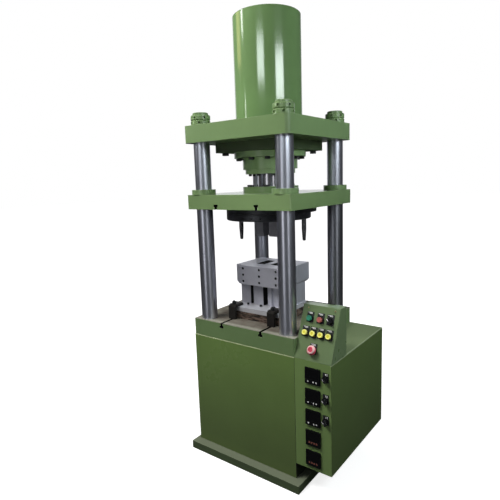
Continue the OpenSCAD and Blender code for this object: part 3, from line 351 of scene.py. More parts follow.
# %% [markdown]
# ### Green machine enamel
# The frame is sprayed in a glossy leaf-green enamel. Real enamel is never even: it is a little
# paler where it was rubbed, duller where oil and dust sat, and worn to a pale line along sharp
# edges. One flat green would look like plastic, so the blotches and the edges are mixed in, and
# a thin clear coat gives the gloss.

# %% Sprayed enamel
GREEN, GREEN_DULL = rgb(0.159, 0.246, 0.102), rgb(0.131, 0.205, 0.083)
GREEN_RUBBED = rgb(0.36, 0.42, 0.27)
PAINT_GLARE, TUBE_GLARE = 0.3, 0.6


def enamel(name, colour=GREEN, second=GREEN_DULL, rough=0.30, wear=0.8, coat=0.6, dulling=0.12):
    """Sprayed enamel with blotches, rubbed edges and a faint orange-peel skin.

    Returns material, tree, shader and the colour's socket, so that the next helper can build on them.
    """
    material, tree, shader = new_material(name, roughness=rough, coat=coat, coat_roughness=0.12)
    shader.inputs["Specular IOR Level"].default_value = PAINT_GLARE
    tone = place_group(tree, blotches, Colour=colour, Second=second, Size=2.4, Grain=420.0)
    edge = place_group(tree, rubbed_edges, Radius=0.0022, Amount=wear, Break_Up=38.0)
    shade = mix_colour(tree, edge.outputs["Mask"], tone.outputs["Colour"], GREEN_RUBBED)
    tree.links.new(shade, shader.inputs["Base Color"])
    dull = ramp(tree, tone.outputs["Mask"], 0.0, 1.0, rough - dulling / 3, rough + dulling)
    tree.links.new(dull, shader.inputs["Roughness"])
    bump(tree, shader, tone.outputs["Grain"], 0.05, 0.0006, edge.outputs["Normal"])
    return material, tree, shader, shade


def turned_enamel(name, colour, second):
    """High gloss over a turned tube: faint rings under the paint break up long reflections."""
    material, tree, shader, shade = enamel(name, colour, second, rough=0.10, wear=0.5, coat=0.0, dulling=0.04)
    shader.inputs["Specular IOR Level"].default_value = TUBE_GLARE
    rings = place_group(tree, tool_lines, Stretch=(2.0, 2.0, 230.0), Low=0.3, High=0.7)
    below = shader.inputs["Normal"].links[0].from_socket
    bump(tree, shader, rings.outputs["Lines"], 0.10, 0.0004, below)
    return material, tree, shader, shade


green_enamel = enamel("green_enamel")[0]
print("enamel:", green_enamel.name)

# %% [markdown]
# ### Dark places and dust
# Slots, gaps and undersides are given painted shade, in the slots along with oily dirt, and dust
# settles on what faces up. Both are matt, so colour alone is not enough: the gloss has to go too.
# Each helper takes a finish, mixes in another colour by a mask, blends the gloss away by the same
# mask, and returns the finish, so that several can be stacked.

# %% Dark places and dust
def slab(x=(-1.0, 1.0), y=(-1.0, 1.0), z=(0.0, 2.0)):
    """Two corners of a box; an axis that is left out runs right through the press."""
    return tuple(zip(x, y, z))


def blend_socket(tree, socket, amount, target):
    """Blends what a shader socket has now towards a plain value, by a mask."""
    blend = put(tree, "MapRange", {1: 0.0, 2: 1.0, 3: socket.default_value, 4: target}, i0=amount)
    if socket.is_linked:
        tree.links.new(socket.links[0].from_socket, blend.inputs[3])
    tree.links.new(blend.outputs[0], socket)


def tinted_inside(paint, corners, shade, strength=1.0, border=0.002, matt=True):
    """Mixes another colour into a finish inside a box; takes and returns what enamel() returns."""
    material, tree, shader, colour = paint
    zone = place_group(tree, inside_box, Low=corners[0], High=corners[1], Border=border)
    amount = ramp(tree, zone.outputs["Mask"], 0.0, 1.0, 0.0, strength)
    mixed = mix_colour(tree, amount, colour, shade)
    tree.links.new(mixed, shader.inputs["Base Color"])
    if matt:
        for label, target in (("Coat Weight", 0.0), ("Roughness", 1.0), ("Metallic", 0.0)):
            blend_socket(tree, shader.inputs[label], amount, target)
    return material, tree, shader, mixed


def dusty_top(paint, dust, strength):
    """Pale matt dust on faces that look up."""
    material, tree, shader, colour = paint
    face = put(tree, "NewGeometry")
    split = put(tree, "SeparateXYZ", i0=face.outputs["True Normal"])
    facing_up = ramp(tree, split.outputs["Z"], 0.6, 0.95)
    dusted = mix_colour(tree, ramp(tree, facing_up, 0.0, 1.0, 0.0, strength), colour, dust)
    tree.links.new(dusted, shader.inputs["Base Color"])
    blend_socket(tree, shader.inputs["Coat Weight"], facing_up, 0.0)
    blend_socket(tree, shader.inputs["Roughness"], facing_up, 0.95)
    return material, tree, shader, dusted


print("place and dust helpers ready")

# %% [markdown]
# ### Cabinet paint
# The cabinets are folded sheet in a yellower green than the frame. Their paint is made darker
# towards the foot. Along the top, where the cabinet meets the bed, a bright line is painted, and
# where it meets the control cabinet a dark line of painted shade stands for the gap. Those lines
# are thinner than any part, so they are drawn by height and by side in the paint.

# %% Cabinet paint
CABINET_GREEN, CABINET_DULL = rgb(0.155, 0.250, 0.066), rgb(0.127, 0.208, 0.053)
FOOT_DARKENING = rgb(0.068, 0.084, 0.034)
DARKEN_FROM_Z, DARKEN_TO_Z = 0.62, 0.05
SEAM_BRIGHT, SEAM_SHADE = rgb(0.60, 0.68, 0.38), rgb(0.018, 0.024, 0.012)
SEAM_LINE, GAP_LINE, LINE_BLUR = 0.0044, 0.0022, 0.0006


def cabinet_enamel(name, seam_height=None, seam_side=None, colour=CABINET_GREEN, second=CABINET_DULL):
    """Enamel made darker towards the foot and, where asked for, a bright top line and a side line of painted
    shade.
    """
    material, tree, shader, paint = enamel(name, colour=colour, second=second)
    place = put(tree, "TexCoord")
    axes = put(tree, "SeparateXYZ", i0=place.outputs["Object"])
    # the paint is made darker towards the foot of the cabinet
    darkening = ramp(tree, axes.outputs["Z"], DARKEN_FROM_Z, DARKEN_TO_Z, 0.0, 0.55)
    marked_paint = mix_colour(tree, darkening, paint, FOOT_DARKENING)
    if seam_height is not None:
        # a bright line is painted along the top, where the cabinet meets the bed
        edge = seam_height - SEAM_LINE
        marked_paint = mix_colour(tree, ramp(tree, axes.outputs["Z"], edge, edge + LINE_BLUR), marked_paint, SEAM_BRIGHT)
    if seam_side is not None:
        # painted shade: a dark line down the side stands for the gap where the control cabinet meets it
        edge = seam_side - GAP_LINE
        marked_paint = mix_colour(tree, ramp(tree, axes.outputs["X"], edge, edge + LINE_BLUR), marked_paint, SEAM_SHADE)
    tree.links.new(marked_paint, shader.inputs["Base Color"])
    return material, tree, shader, marked_paint


cabinet_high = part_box("cabinet")[1]
cabinet_paint = cabinet_enamel("cabinet_enamel", cabinet_high.z, cabinet_high.x)[0]
print("cabinet paint:", cabinet_paint.name)

# %% [markdown]
# ### Control cabinet and console paint
# The control cabinet has dust on its top, painted light on its front, painted shade on its right
# side, and a painted highlight along its top right edge. The console on it is a greyer green, with
# painted shade in a dark gap at the rear of its top. Each of these is one more tint inside a box,
# taken from the solid's own bounds, so the paint follows when the solid changes.

# %% Control cabinet and console
DUST = rgb(0.235, 0.262, 0.172)
FRONT_PAINTED_LIGHT, SIDE_SHADE = rgb(0.195, 0.300, 0.100), rgb(0.060, 0.090, 0.026)
EDGE_HIGHLIGHT, EDGE_WIDTH = rgb(0.34, 0.40, 0.24), 0.005
SKIN, BEYOND, SHARP = 0.001, 0.01, 0.0005

panel_low, panel_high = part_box("control_cabinet")
panel = dusty_top(cabinet_enamel("panel_enamel"), DUST, 0.6)
# painted light: the front face is made lighter than the rest of the paint
panel_front = slab(y=(panel_low.y - BEYOND, panel_low.y + SKIN))
panel = tinted_inside(panel, panel_front, FRONT_PAINTED_LIGHT, strength=0.7, border=SHARP)
# painted shade: the right side is made darker
panel_right = slab(x=(panel_high.x - SKIN, panel_high.x + BEYOND))
panel = tinted_inside(panel, panel_right, SIDE_SHADE, strength=0.65, border=SHARP)
# painted highlight: a pale strip along the top right edge
panel_edge = slab(x=(panel_high.x - EDGE_WIDTH, panel_high.x + BEYOND),
                  z=(panel_high.z - EDGE_WIDTH, panel_high.z + BEYOND))
panel_paint = tinted_inside(panel, panel_edge, EDGE_HIGHLIGHT, strength=0.9, border=0.0015)[0]

CONSOLE_GREEN, CONSOLE_DULL = rgb(0.146, 0.211, 0.097), rgb(0.124, 0.181, 0.083)
CONSOLE_GAP_SHADE = rgb(0.006, 0.007, 0.006)
GAP_WIDTH, GAP_DEPTH, GAP_DROP = 0.130, 0.011, 0.006
console_low, console_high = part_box("console")
# painted shade: a dark gap at the rear of the console's top
console_paint = tinted_inside(
    cabinet_enamel("console_enamel", colour=CONSOLE_GREEN, second=CONSOLE_DULL),
    slab((console_low.x - BEYOND, console_low.x + GAP_WIDTH), (console_high.y - GAP_DEPTH, 1.0),
         (console_high.z - GAP_DROP, 2.0)),
    CONSOLE_GAP_SHADE,
)[0]
print("panel paint:", panel_paint.name, "console paint:", console_paint.name)

# %% [markdown]
# ### Other enamels
# The same enamel takes a slightly different tone on each casting: the cylinder is deeper and
# glossier. The gland under the crown is painted lighter, as painted light against the crown's
# shadow, and the cylinder's square flange is darkened as the crown's painted shadow. The base plate
# and the oil tank are nearly black-green, and the base is dusty on top. One material could serve
# them all, but separate ones keep each tone free to change.

# %% Other enamels
GREEN_DARK = rgb(0.085, 0.125, 0.055)
FLANGE_SHADE, BASE_DUST = rgb(0.022, 0.034, 0.008), rgb(0.190, 0.210, 0.146)
platen_enamel = enamel("platen_enamel", colour=rgb(0.158, 0.242, 0.099), second=rgb(0.131, 0.201, 0.082))
# painted light: the gland's green is lighter than the crown's, against the crown's shadow
gland_lit_enamel = enamel("gland_lit_enamel", colour=rgb(0.190, 0.300, 0.122), second=rgb(0.156, 0.245, 0.100))[0]
flange_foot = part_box("cylinder_barrel")[0].z
crown_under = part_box("crown")[0].z
# painted shade: the square flange under the crown is darkened as the crown's shadow
cylinder_enamel = tinted_inside(
    turned_enamel("cylinder_enamel", rgb(0.134, 0.227, 0.086), rgb(0.111, 0.188, 0.071)),
    slab(z=(flange_foot - BEYOND, crown_under)), FLANGE_SHADE, strength=0.80,
)[0]
dark_enamel = enamel("dark_enamel", colour=GREEN_DARK, second=rgb(0.06, 0.085, 0.04),
                     rough=0.45, coat=0.2)[0]
base_enamel = dusty_top(
    enamel("base_enamel", colour=GREEN_DARK, second=rgb(0.066, 0.088, 0.046), rough=0.5, coat=0.1),
    BASE_DUST, 0.75,
)[0]
print("enamels:", gland_lit_enamel.name, cylinder_enamel.name, dark_enamel.name, base_enamel.name)

# %% [markdown]
# ### Tee slots
# Tee slots run from front to back in the bed and in the platen; tools are bolted into them.
# They hold oily dirt and read as black. Shade alone would leave them green, because light still
# falls in, so black is painted inside the box that each slot takes up: dirt and painted shade.

# %% Tee slots
SLOT_X, SLOT_HEAD, SLOT_DEPTH = 0.118, 0.025, 0.024
SLOT_DIRT_AND_SHADE = rgb(0.003, 0.003, 0.003)
SLOT_PLAY, SLOT_END, SLOT_RIM = 0.0005, 0.0004, 0.0012


def dark_slots(paint, block_low, block_high):
    """Black dirt and painted shade inside the two tee slots of a block, which run from front to back."""
    for x in (-SLOT_X, SLOT_X):
        half = SLOT_HEAD / 2 + SLOT_PLAY
        corners = slab((x - half, x + half), (block_low.y + SLOT_END, block_high.y - SLOT_END),
                       (block_low.z - SLOT_PLAY, block_high.z + SLOT_PLAY))
        # dirt and painted shade: the inside of the slot is tinted black
        paint = tinted_inside(paint, corners, SLOT_DIRT_AND_SHADE, border=0.0003)
    return paint


platen_low, platen_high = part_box("platen")
platen_slots = Vector((platen_high.x, platen_high.y, platen_low.z + SLOT_DEPTH))
platen_finish = dark_slots(platen_enamel, platen_low, platen_slots)[0]
print("platen:", platen_finish.name)

# %% [markdown]
# ### The bed: painted sides, bare worked face
# The bed's sides are painted, but its top is bare steel that tools are dragged over. It has
# gone brown with oil, rusty round the die and pale along the front lip. Two materials would
# need the face split off the solid. One material carries both: a mask from the face direction
# and the height picks bare metal on top and paint below.

# %% Bed
OILED, OILED_DARK = rgb(0.184, 0.174, 0.138), rgb(0.092, 0.080, 0.064)
SCRATCH, LIP_PALE = rgb(0.23, 0.215, 0.185), rgb(0.42, 0.42, 0.34)
RUST_DARK, RUST_RED = rgb(0.050, 0.036, 0.028), rgb(0.150, 0.082, 0.060)
RUST_SIDE, RUST_FRONT, RUST_DOWN, RUST_FADE, LIP = 0.10, 0.09, 0.02, 0.09, 0.045
FACE_SKIN = 0.0015


def bare_steel(tree, front):
    """The colour of the bed's bare top: oily steel with scratches, rust round the die, a rubbed front lip."""
    stain = place_group(tree, blotches, Colour=OILED, Second=OILED_DARK, Size=16.0, Grain=300.0)
    scratches = place_group(tree, tool_lines, Stretch=(24.0, 210.0, 30.0), Low=0.50, High=0.90)
    scratched = mix_colour(tree, scratches.outputs["Lines"], stain.outputs["Colour"], SCRATCH)
    tool_low, tool_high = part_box("die_bolster")
    low, high = slab((tool_low.x - RUST_SIDE, tool_high.x + RUST_SIDE),
                     (tool_low.y - RUST_FRONT, tool_high.y + RUST_FRONT),
                     (tool_low.z - RUST_DOWN, tool_high.z))
    around = place_group(tree, inside_box, Low=low, High=high, Border=RUST_FADE)
    spots = place_group(tree, blotches, Colour=RUST_DARK, Second=RUST_RED, Size=34.0, Grain=300.0)
    rust = ramp(tree, around.outputs["Mask"], 0.0, 1.0, 0.0, 0.85)
    rusted = mix_colour(tree, rust, scratched, spots.outputs["Colour"])
    low, high = slab(y=(front - BEYOND, front + LIP))
    lip = place_group(tree, inside_box, Low=low, High=high, Border=LIP)
    return mix_colour(tree, ramp(tree, lip.outputs["Mask"], 0.1, 1.0, 0.0, 0.85), rusted, LIP_PALE)


def bed_material():
    """Painted block with black slots and a bare top."""
    low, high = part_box("bed")
    slots_low = Vector((low.x, low.y, high.z - SLOT_DEPTH))
    slots_high = Vector((high.x, high.y, high.z - SLOT_RIM))
    painted = dark_slots(enamel("bed_paint_and_bare_top", coat=0.2), slots_low, slots_high)
    material, tree, shader, paint = painted
    face = put(tree, "NewGeometry")
    split = put(tree, "SeparateXYZ", i0=face.outputs["True Normal"])
    place = put(tree, "TexCoord")
    axes = put(tree, "SeparateXYZ", i0=place.outputs["Object"])
    at_top = ramp(tree, axes.outputs["Z"], high.z - FACE_SKIN, high.z - FACE_SKIN / 3)
    up = put(tree, "Math", {"operation": "MULTIPLY"}, i0=ramp(tree, split.outputs["Z"], 0.5, 0.8), i1=at_top)
    facing_up = up.outputs[0]
    tree.links.new(mix_colour(tree, facing_up, paint, bare_steel(tree, low.y)), shader.inputs["Base Color"])
    blend_socket(tree, shader.inputs["Coat Weight"], facing_up, 0.0)
    blend_socket(tree, shader.inputs["Roughness"], facing_up, 0.8)
    return material


bed_finish = bed_material()
print("bed:", bed_finish.name)

# %% [markdown]
# ### Ground columns and ram
# The columns and the ram are ground, polished and hard-chromed, and the columns' ends above the
# crown are painted over. What makes chrome read as chrome is what it reflects, so the studio
# gets bright cards later on. The surface itself is satin rather than a mirror, with dull smears
# and upright wiping streaks; the rear right column is darkened between bed and platen as painted shade.

# %% Chrome
REAR_COLUMN_SHADE = rgb(0.24, 0.26, 0.28)
PAINT_LINE = 0.001
REAR_RIGHT, SHADE_BELOW, SHADE_ABOVE, SHADE_FADE = (0.1, 1.0), 0.2, 0.1, 0.15


def chrome_material(name, colour, rough, painted_above=None):
    """Satin chrome with smears and streaks; green paint above a height, if one is given."""
    material, tree, shader = new_material(name, metallic=1.0, roughness=rough)
    smear = place_group(tree, blotches, Colour=colour, Second=times(colour, 0.90), Size=5.0, Grain=300.0)
    streaks = place_group(tree, tool_lines, Stretch=(380.0, 380.0, 1.2), Low=0.35, High=0.70)
    amount = ramp(tree, streaks.outputs["Lines"], 0.0, 1.0, 0.0, 0.7)
    shade = mix_colour(tree, amount, smear.outputs["Colour"], times(colour, 0.66))
    if painted_above is not None:
        place = put(tree, "TexCoord")
        height = put(tree, "SeparateXYZ", i0=place.outputs["Object"])
        painted = ramp(tree, height.outputs["Z"], painted_above, painted_above + PAINT_LINE)
        shade = mix_colour(tree, painted, shade, GREEN_DULL)
        tree.links.new(ramp(tree, painted, 0.0, 1.0, 1.0, 0.0), shader.inputs["Metallic"])
    tree.links.new(shade, shader.inputs["Base Color"])
    satin = ramp(tree, smear.outputs["Mask"], 0.0, 1.0, rough - 0.02, rough + 0.03)
    tree.links.new(satin, shader.inputs["Roughness"])
    return material, tree, shader, shade


crown_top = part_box("crown")[1].z
bed_top, platen_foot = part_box("bed")[1].z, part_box("platen")[0].z
# painted shade: the rear right column is darkened from below the bed top to just above the platen
rear_right = slab(REAR_RIGHT, REAR_RIGHT, (bed_top - SHADE_BELOW, platen_foot + SHADE_ABOVE))
column_chrome = tinted_inside(
    chrome_material("column_chrome", rgb(0.72, 0.74, 0.85), 0.32, painted_above=crown_top),
    rear_right, REAR_COLUMN_SHADE, strength=0.8, border=SHADE_FADE, matt=False,
)[0]
ram_chrome = chrome_material("ram_chrome", rgb(0.60, 0.60, 0.65), 0.20)[0]
print("chrome:", column_chrome.name, ram_chrome.name)

# %% [markdown]
# ### Milled steel
# The die set is milled tool steel: matt blue-grey, with fine cutter lines and edges rubbed
# bright. Full metal would look like a mirror, so it is mixed with a plain surface, as steel
# under a film of oil looks. The bolster below has rusted in layers, which the tool lines make
# again, squeezed along the height.

# %% Milled steel
DIE_GREY, DIE_SHADE = rgb(0.63, 0.63, 0.70), rgb(0.51, 0.51, 0.57)
RUST_LAYER = rgb(0.022, 0.016, 0.013)


def milled_steel(name, colour, second, rough=0.42, stretch=(30.0, 30.0, 700.0), metal=0.85, wear=0.5):
    """Steel with cutter lines and bright edges; returns what enamel() returns."""
    material, tree, shader = new_material(name, metallic=metal, roughness=rough)
    tone = place_group(tree, blotches, Colour=colour, Second=second, Size=6.0, Grain=600.0)
    lines = place_group(tree, tool_lines, Stretch=stretch, Low=0.3, High=0.7)
    edge = place_group(tree, rubbed_edges, Radius=0.0014, Amount=wear, Break_Up=55.0)
    shade = mix_colour(tree, edge.outputs["Mask"], tone.outputs["Colour"], times(colour, 1.6))
    tree.links.new(shade, shader.inputs["Base Color"])
    brushed = ramp(tree, lines.outputs["Lines"], 0.0, 1.0, rough - 0.06, rough + 0.08)
    tree.links.new(brushed, shader.inputs["Roughness"])
    bump(tree, shader, lines.outputs["Lines"], 0.08, 0.0002, edge.outputs["Normal"])
    return material, tree, shader, shade


def layered_rust(name, colour, layer):
    """Rusty plate whose edge shows dark and pale layers lying on each other."""
    material, tree, shader, shade = milled_steel(name, colour, layer, rough=0.6, metal=0.3)
    beds = place_group(tree, tool_lines, Stretch=(26.0, 26.0, 170.0), Low=0.42, High=0.58)
    layers = mix_colour(tree, beds.outputs["Lines"], shade, RUST_LAYER)
    tree.links.new(layers, shader.inputs["Base Color"])
    return material


die_steel = milled_steel("die_steel", DIE_GREY, DIE_SHADE, metal=0.6)[0]
base_steel = milled_steel("die_base_steel", rgb(0.72, 0.72, 0.77), rgb(0.50, 0.49, 0.51), metal=0.5)[0]
rusty_steel = layered_rust("bolster_rust", rgb(0.26, 0.185, 0.145), rgb(0.13, 0.086, 0.064))
print("die steels:", die_steel.name, base_steel.name, rusty_steel.name)

# %% [markdown]
# ### Die block and risers
# The punch dips into two cavities in the die, and the risers under it leave two gaps. Both are
# deep, so they are painted black as shade, and the cavities hold oil as well. The boxes for the
# dark tint come from the punch's and the risers' own bounds, so they stay where the openings are.

# %% Die block and risers
CAVITY_OIL_AND_SHADE, RISER_GAP_SHADE = rgb(0.012, 0.011, 0.011), rgb(0.006, 0.007, 0.010)
CAVITY_PLAY, CAVITY_LIP = 0.004, 0.0008
RISER_GAPS = ((0.060, 0.018), (0.138, 0.028))
GAP_PLAY = 0.0004


def die_material(name):
    """Milled tool steel with dark oil and painted shade in the two cavities."""
    block = milled_steel(name, DIE_GREY, DIE_SHADE, metal=0.6)
    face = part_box("die_body")[1].z - CAVITY_LIP
    low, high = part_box("punch")
    corners = slab((low.x + CAVITY_PLAY, high.x - CAVITY_PLAY), (low.y + CAVITY_PLAY, high.y - CAVITY_PLAY),
                   (0.0, face))
    # painted shade with oil: the cavities are tinted black
    return tinted_inside(block, corners, CAVITY_OIL_AND_SHADE, border=0.0006)[0]


def riser_material(name):
    """Milled steel whose two gaps between the uprights are painted black inside as shade."""
    block = milled_steel(name, DIE_GREY, DIE_SHADE, metal=0.6)
    low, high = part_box("die_risers")
    for start, width in RISER_GAPS:
        left = low.x + start
        corners = slab((left - GAP_PLAY, left + width + GAP_PLAY), (low.y + SKIN, high.y),
                       (low.z - BEYOND, high.z + BEYOND))
        # painted shade: the gaps between the uprights are tinted black
        block = tinted_inside(block, corners, RISER_GAP_SHADE, border=0.0002)
    return block[0]


die_block = die_material("die_block_steel")
riser_steel = riser_material("riser_steel")
print("die:", die_block.name, riser_steel.name)

# %% [markdown]
# ### Dark steel and other metals
# The disc above the die is nearly black from heat and oil, the clamps and screws are blackened,
# and the console's face screws are yellow zinc. The drive has drawn tubes, cast alloy and motor
# paint, and the ram's bush is bronze. Each could have a recipe of its own; all are the milled
# one with other colours and roughness, because they differ in tone and not in structure.

# %% Other metals
dark_steel = milled_steel("oily_dark_steel", rgb(0.070, 0.072, 0.080), rgb(0.030, 0.031, 0.035),
                          rough=0.40, wear=0.9)[0]
punch_steel = milled_steel("punch_steel", rgb(0.34, 0.34, 0.37), rgb(0.22, 0.22, 0.245), rough=0.45)[0]
pin_steel = milled_steel("pin_steel", rgb(0.13, 0.13, 0.14), rgb(0.06, 0.06, 0.065), rough=0.3)[0]
clamp_steel = milled_steel("clamp_steel", rgb(0.022, 0.019, 0.017), rgb(0.011, 0.010, 0.009),
                           rough=0.55, metal=0.4, wear=0.9)[0]
black_oxide = milled_steel("black_oxide", rgb(0.035, 0.035, 0.037), rgb(0.02, 0.02, 0.021),
                           rough=0.5, metal=0.5)[0]
yellow_zinc = milled_steel("yellow_zinc", rgb(0.52, 0.43, 0.22), rgb(0.38, 0.31, 0.15), rough=0.35)[0]
tube_steel = milled_steel("drawn_tube", rgb(0.50, 0.50, 0.51), rgb(0.40, 0.40, 0.41), rough=0.35)[0]
cast_alloy = milled_steel("cast_alloy", rgb(0.55, 0.55, 0.57), rgb(0.45, 0.45, 0.47),
                          rough=0.5, stretch=(300.0, 300.0, 300.0))[0]
bronze = milled_steel("turned_bronze", rgb(0.52, 0.34, 0.13), rgb(0.40, 0.25, 0.09), rough=0.35)[0]
motor_paint = milled_steel("motor_paint", rgb(0.10, 0.12, 0.15), rgb(0.08, 0.095, 0.12), metal=0.0)[0]
print("materials so far:", len(bpy.data.materials))

# %% [markdown]
# ### Moulded plastic
# Buttons, bezels and instruments are moulded plastic. The caps are smooth with a slight
# cloudiness; the black fronts are finely textured and swallow light. The same recipe serves all
# of them, with colour and roughness changed, and the blackest two get weaker reflections so
# that they stay black beside bright cards.

# %% Plastics
SKIN_GRAIN, BLACK_GLARE = 1500.0, 0.14
SOFT_BLACK = rgb(0.004, 0.004, 0.005)


def plastic(name, colour, rough=0.35, relief=0.04):
    """Moulded plastic: cloudy tone, softened edges and a fine skin."""
    material, tree, shader = new_material(name, roughness=rough)
    tone = place_group(tree, blotches, Colour=colour, Second=times(colour, 0.82), Size=30.0, Grain=SKIN_GRAIN)
    edge = place_group(tree, rubbed_edges, Radius=0.0008, Amount=0.0, Break_Up=80.0)
    tree.links.new(tone.outputs["Colour"], shader.inputs["Base Color"])
    cloudy = ramp(tree, tone.outputs["Mask"], 0.0, 1.0, rough - 0.05, rough + 0.08)
    tree.links.new(cloudy, shader.inputs["Roughness"])
    bump(tree, shader, tone.outputs["Grain"], relief, 0.0003, edge.outputs["Normal"])
    return material


black_plastic = plastic("black_plastic", SOFT_BLACK, 0.45)
plate_plastic = plastic("plate_plastic", rgb(0.020, 0.021, 0.020), 0.45)
knob_plastic = plastic("knob_plastic", rgb(0.010, 0.010, 0.012), 0.24)
seal_rubber = plastic("seal_rubber", rgb(0.02, 0.02, 0.02), 0.6)
green_cap = plastic("green_cap", rgb(0.035, 0.23, 0.14), 0.32)
red_cap = plastic("red_cap", rgb(0.44, 0.12, 0.10), 0.32)
white_print = plastic("white_print", rgb(0.92, 0.92, 0.90), 0.5)
red_digits = plastic("red_digits", rgb(0.30, 0.10, 0.075), 0.4)
dark_window = plastic("dark_window", SOFT_BLACK, 0.12, relief=0.01)
for dark in (black_plastic, dark_window):
    dark.node_tree.nodes["Principled BSDF"].inputs["Specular IOR Level"].default_value = BLACK_GLARE
print("materials so far:", len(bpy.data.materials))

# %% [markdown]
# ### Caps with a ring
# The yellow buttons have a paler ring round a darker middle, and the red stop button has a pale
# rim; both rings are painted highlights, where the glossy cap catches the light. The ring could be
# a separate piece, but a highlight belongs to no piece. So the mask of one radius is taken from
# the mask of a larger one, round the axis that the button moves along.

# %% Ringed caps
# the pale rings are painted highlights
YELLOW, YELLOW_HIGHLIGHT = rgb(0.84, 0.75, 0.06), rgb(0.96, 0.92, 0.24)
STOP_RED, STOP_HIGHLIGHT = rgb(0.62, 0.07, 0.11), rgb(0.82, 0.47, 0.47)
YELLOW_RING, STOP_RING = (6.5, 12.5), (11.5, 18.5)


def ringed_cap(node, colour, ring, inner, outer):
    """A cap in one colour with a painted highlight ring of another on its face, between two radii in mm."""
    material = plastic(node + "_cap", colour, 0.32)
    tree = material.node_tree
    shader = tree.nodes["Principled BSDF"]
    low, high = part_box(node)
    middle = (low + high) / 2
    joint = next(j for j in frame["joints"] if j["name"] == node + "_press")
    masks = [place_group(tree, inside_radius, Centre=middle, Axis=joint["axis"], Radius=r / 1000)
             for r in (outer, inner)]
    band = put(tree, "Math", {"operation": "SUBTRACT", "use_clamp": True},
               i0=masks[0].outputs["Mask"], i1=masks[1].outputs["Mask"])
    base = shader.inputs["Base Color"]
    tree.links.new(mix_colour(tree, band.outputs[0], base.links[0].from_socket, ring), base)
    return material


caps = {}
for number in (1, 2, 3, 4):
    button = "yellow_button_%d" % number
    caps[button] = ringed_cap(button, YELLOW, YELLOW_HIGHLIGHT, *YELLOW_RING)
caps["emergency_stop"] = ringed_cap("emergency_stop", STOP_RED, STOP_HIGHLIGHT, *STOP_RING)
print("ringed caps:", len(caps))

# %% [markdown]
# ## Dressing the solids
# Every solid already has the right form, so it only takes a finish. The finishes could be set
# one by one; a table that goes by what the part is made of is easier to read and to check, and
# the drive inside the cabinet is in it too.

# %% Finish table
FINISH = {
    green_enamel: ["crown", "column_nuts", "ram_flange", "guide_bushes"],
    platen_finish: ["platen"],
    gland_lit_enamel: ["gland_head", "gland_ring"],
    cabinet_paint: ["cabinet"],
    panel_paint: ["control_cabinet", "rear_cover"],
    console_paint: ["console"],
    cylinder_enamel: ["cylinder_barrel"],
    base_enamel: ["base_plate"],
    dark_enamel: ["oil_tank", "tank_lid"],
    bed_finish: ["bed"],
    column_chrome: ["columns"],
    ram_chrome: ["ram_rod"],
    die_block: ["die_body"],
    die_steel: ["die_front_plate", "piston", "cover_screws"],
    riser_steel: ["die_risers"],
    base_steel: ["die_base"],
    rusty_steel: ["die_bolster"],
    dark_steel: ["adapter_disc"],
    punch_steel: ["punch"],
    pin_steel: ["guide_pins"],
    clamp_steel: ["clamp_straps"],
    black_oxide: ["cylinder_bolts", "gland_bolts", "gland_ring_screws", "ram_bolts", "disc_bolts",
                  "die_screws", "clamp_bolts", "foot_nuts"],
    tube_steel: ["pressure_pipe", "return_pipe"],
    cast_alloy: ["gear_pump", "valve_block"],
    bronze: ["rod_bush"],
    seal_rubber: ["rod_packing"],
    motor_paint: ["pump_motor"],
    black_plastic: ["controllers", "timers", "button_bezels", "solenoid_valves"],
    plate_plastic: ["legend_plates"],
    knob_plastic: ["console_selector", "panel_selector_1", "panel_selector_2", "panel_selector_3"],
    green_cap: ["green_button"],
    red_cap: ["red_button"],
}
FINISH.update({material: [name] for name, material in caps.items()})
for material, names in FINISH.items():
    for name in names:
        mesh = nodes[name].data
        mesh.materials.clear()
        mesh.materials.append(material)
dressed = {name for names in FINISH.values() for name in names}
print("dressed:", len(dressed), "left:", sorted(set(nodes) - dressed))

# %% [markdown]
# ## Small pieces on the panels
# The solids stop at the instrument fronts and legend plates. Printed marks, key caps, window
# panes and pointer lines are thin. They could be pictures on the faces; as small bevelled tiles
# they catch the light at their rims and need no unwrapping. Each is set in the panel's own
# directions: one for along, one for up, one for out. Sizes typed in for these pieces are in
# millimetres.

# %% Tiles
RIM_SHARE = 0.6


def tiles(name, material, body, items, bevel=0.25):
    """One mesh of small bevelled tiles, in mm. An item: centre, along, up, out, width, height, thickness."""
    mesh = bmesh.new()
    for centre, along, up, out, w, h, t in items:
        half = (along * w / 2000, up * h / 2000)
        lift = out * (t / 1000)
        inset = min(bevel, w / 4, h / 4) / 1000
        shrink = (along * (w / 2000 - inset), up * (h / 2000 - inset))
        corners = [(-1, -1), (1, -1), (1, 1), (-1, 1)]
        foot = [mesh.verts.new(centre + half[0] * a + half[1] * b) for a, b in corners]
        rim = [mesh.verts.new(centre + half[0] * a + half[1] * b + lift * RIM_SHARE) for a, b in corners]
        crest = [mesh.verts.new(centre + shrink[0] * a + shrink[1] * b + lift) for a, b in corners]
        mesh.faces.new(list(reversed(foot)))
        mesh.faces.new(crest)
        for low, high in ((foot, rim), (rim, crest)):
            for i in range(4):
                j = (i + 1) % 4
                mesh.faces.new((low[i], low[j], high[j], high[i]))
    data = bpy.data.meshes.new(name)
    mesh.to_mesh(data)
    mesh.free()
    data.materials.append(material)
    piece = bpy.data.objects.new(name, data)
    scene.collection.objects.link(piece)
    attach(piece, body)


print("tiles ready")

# %% [markdown]
# ### Places on the two fronts
# The console's face slopes, and the panel's front stands upright. Working in world coordinates
# on a slope is error-prone, so a helper turns millimetres along and up the slope into a point.
# The slope's normal is the direction that the green button moves in.

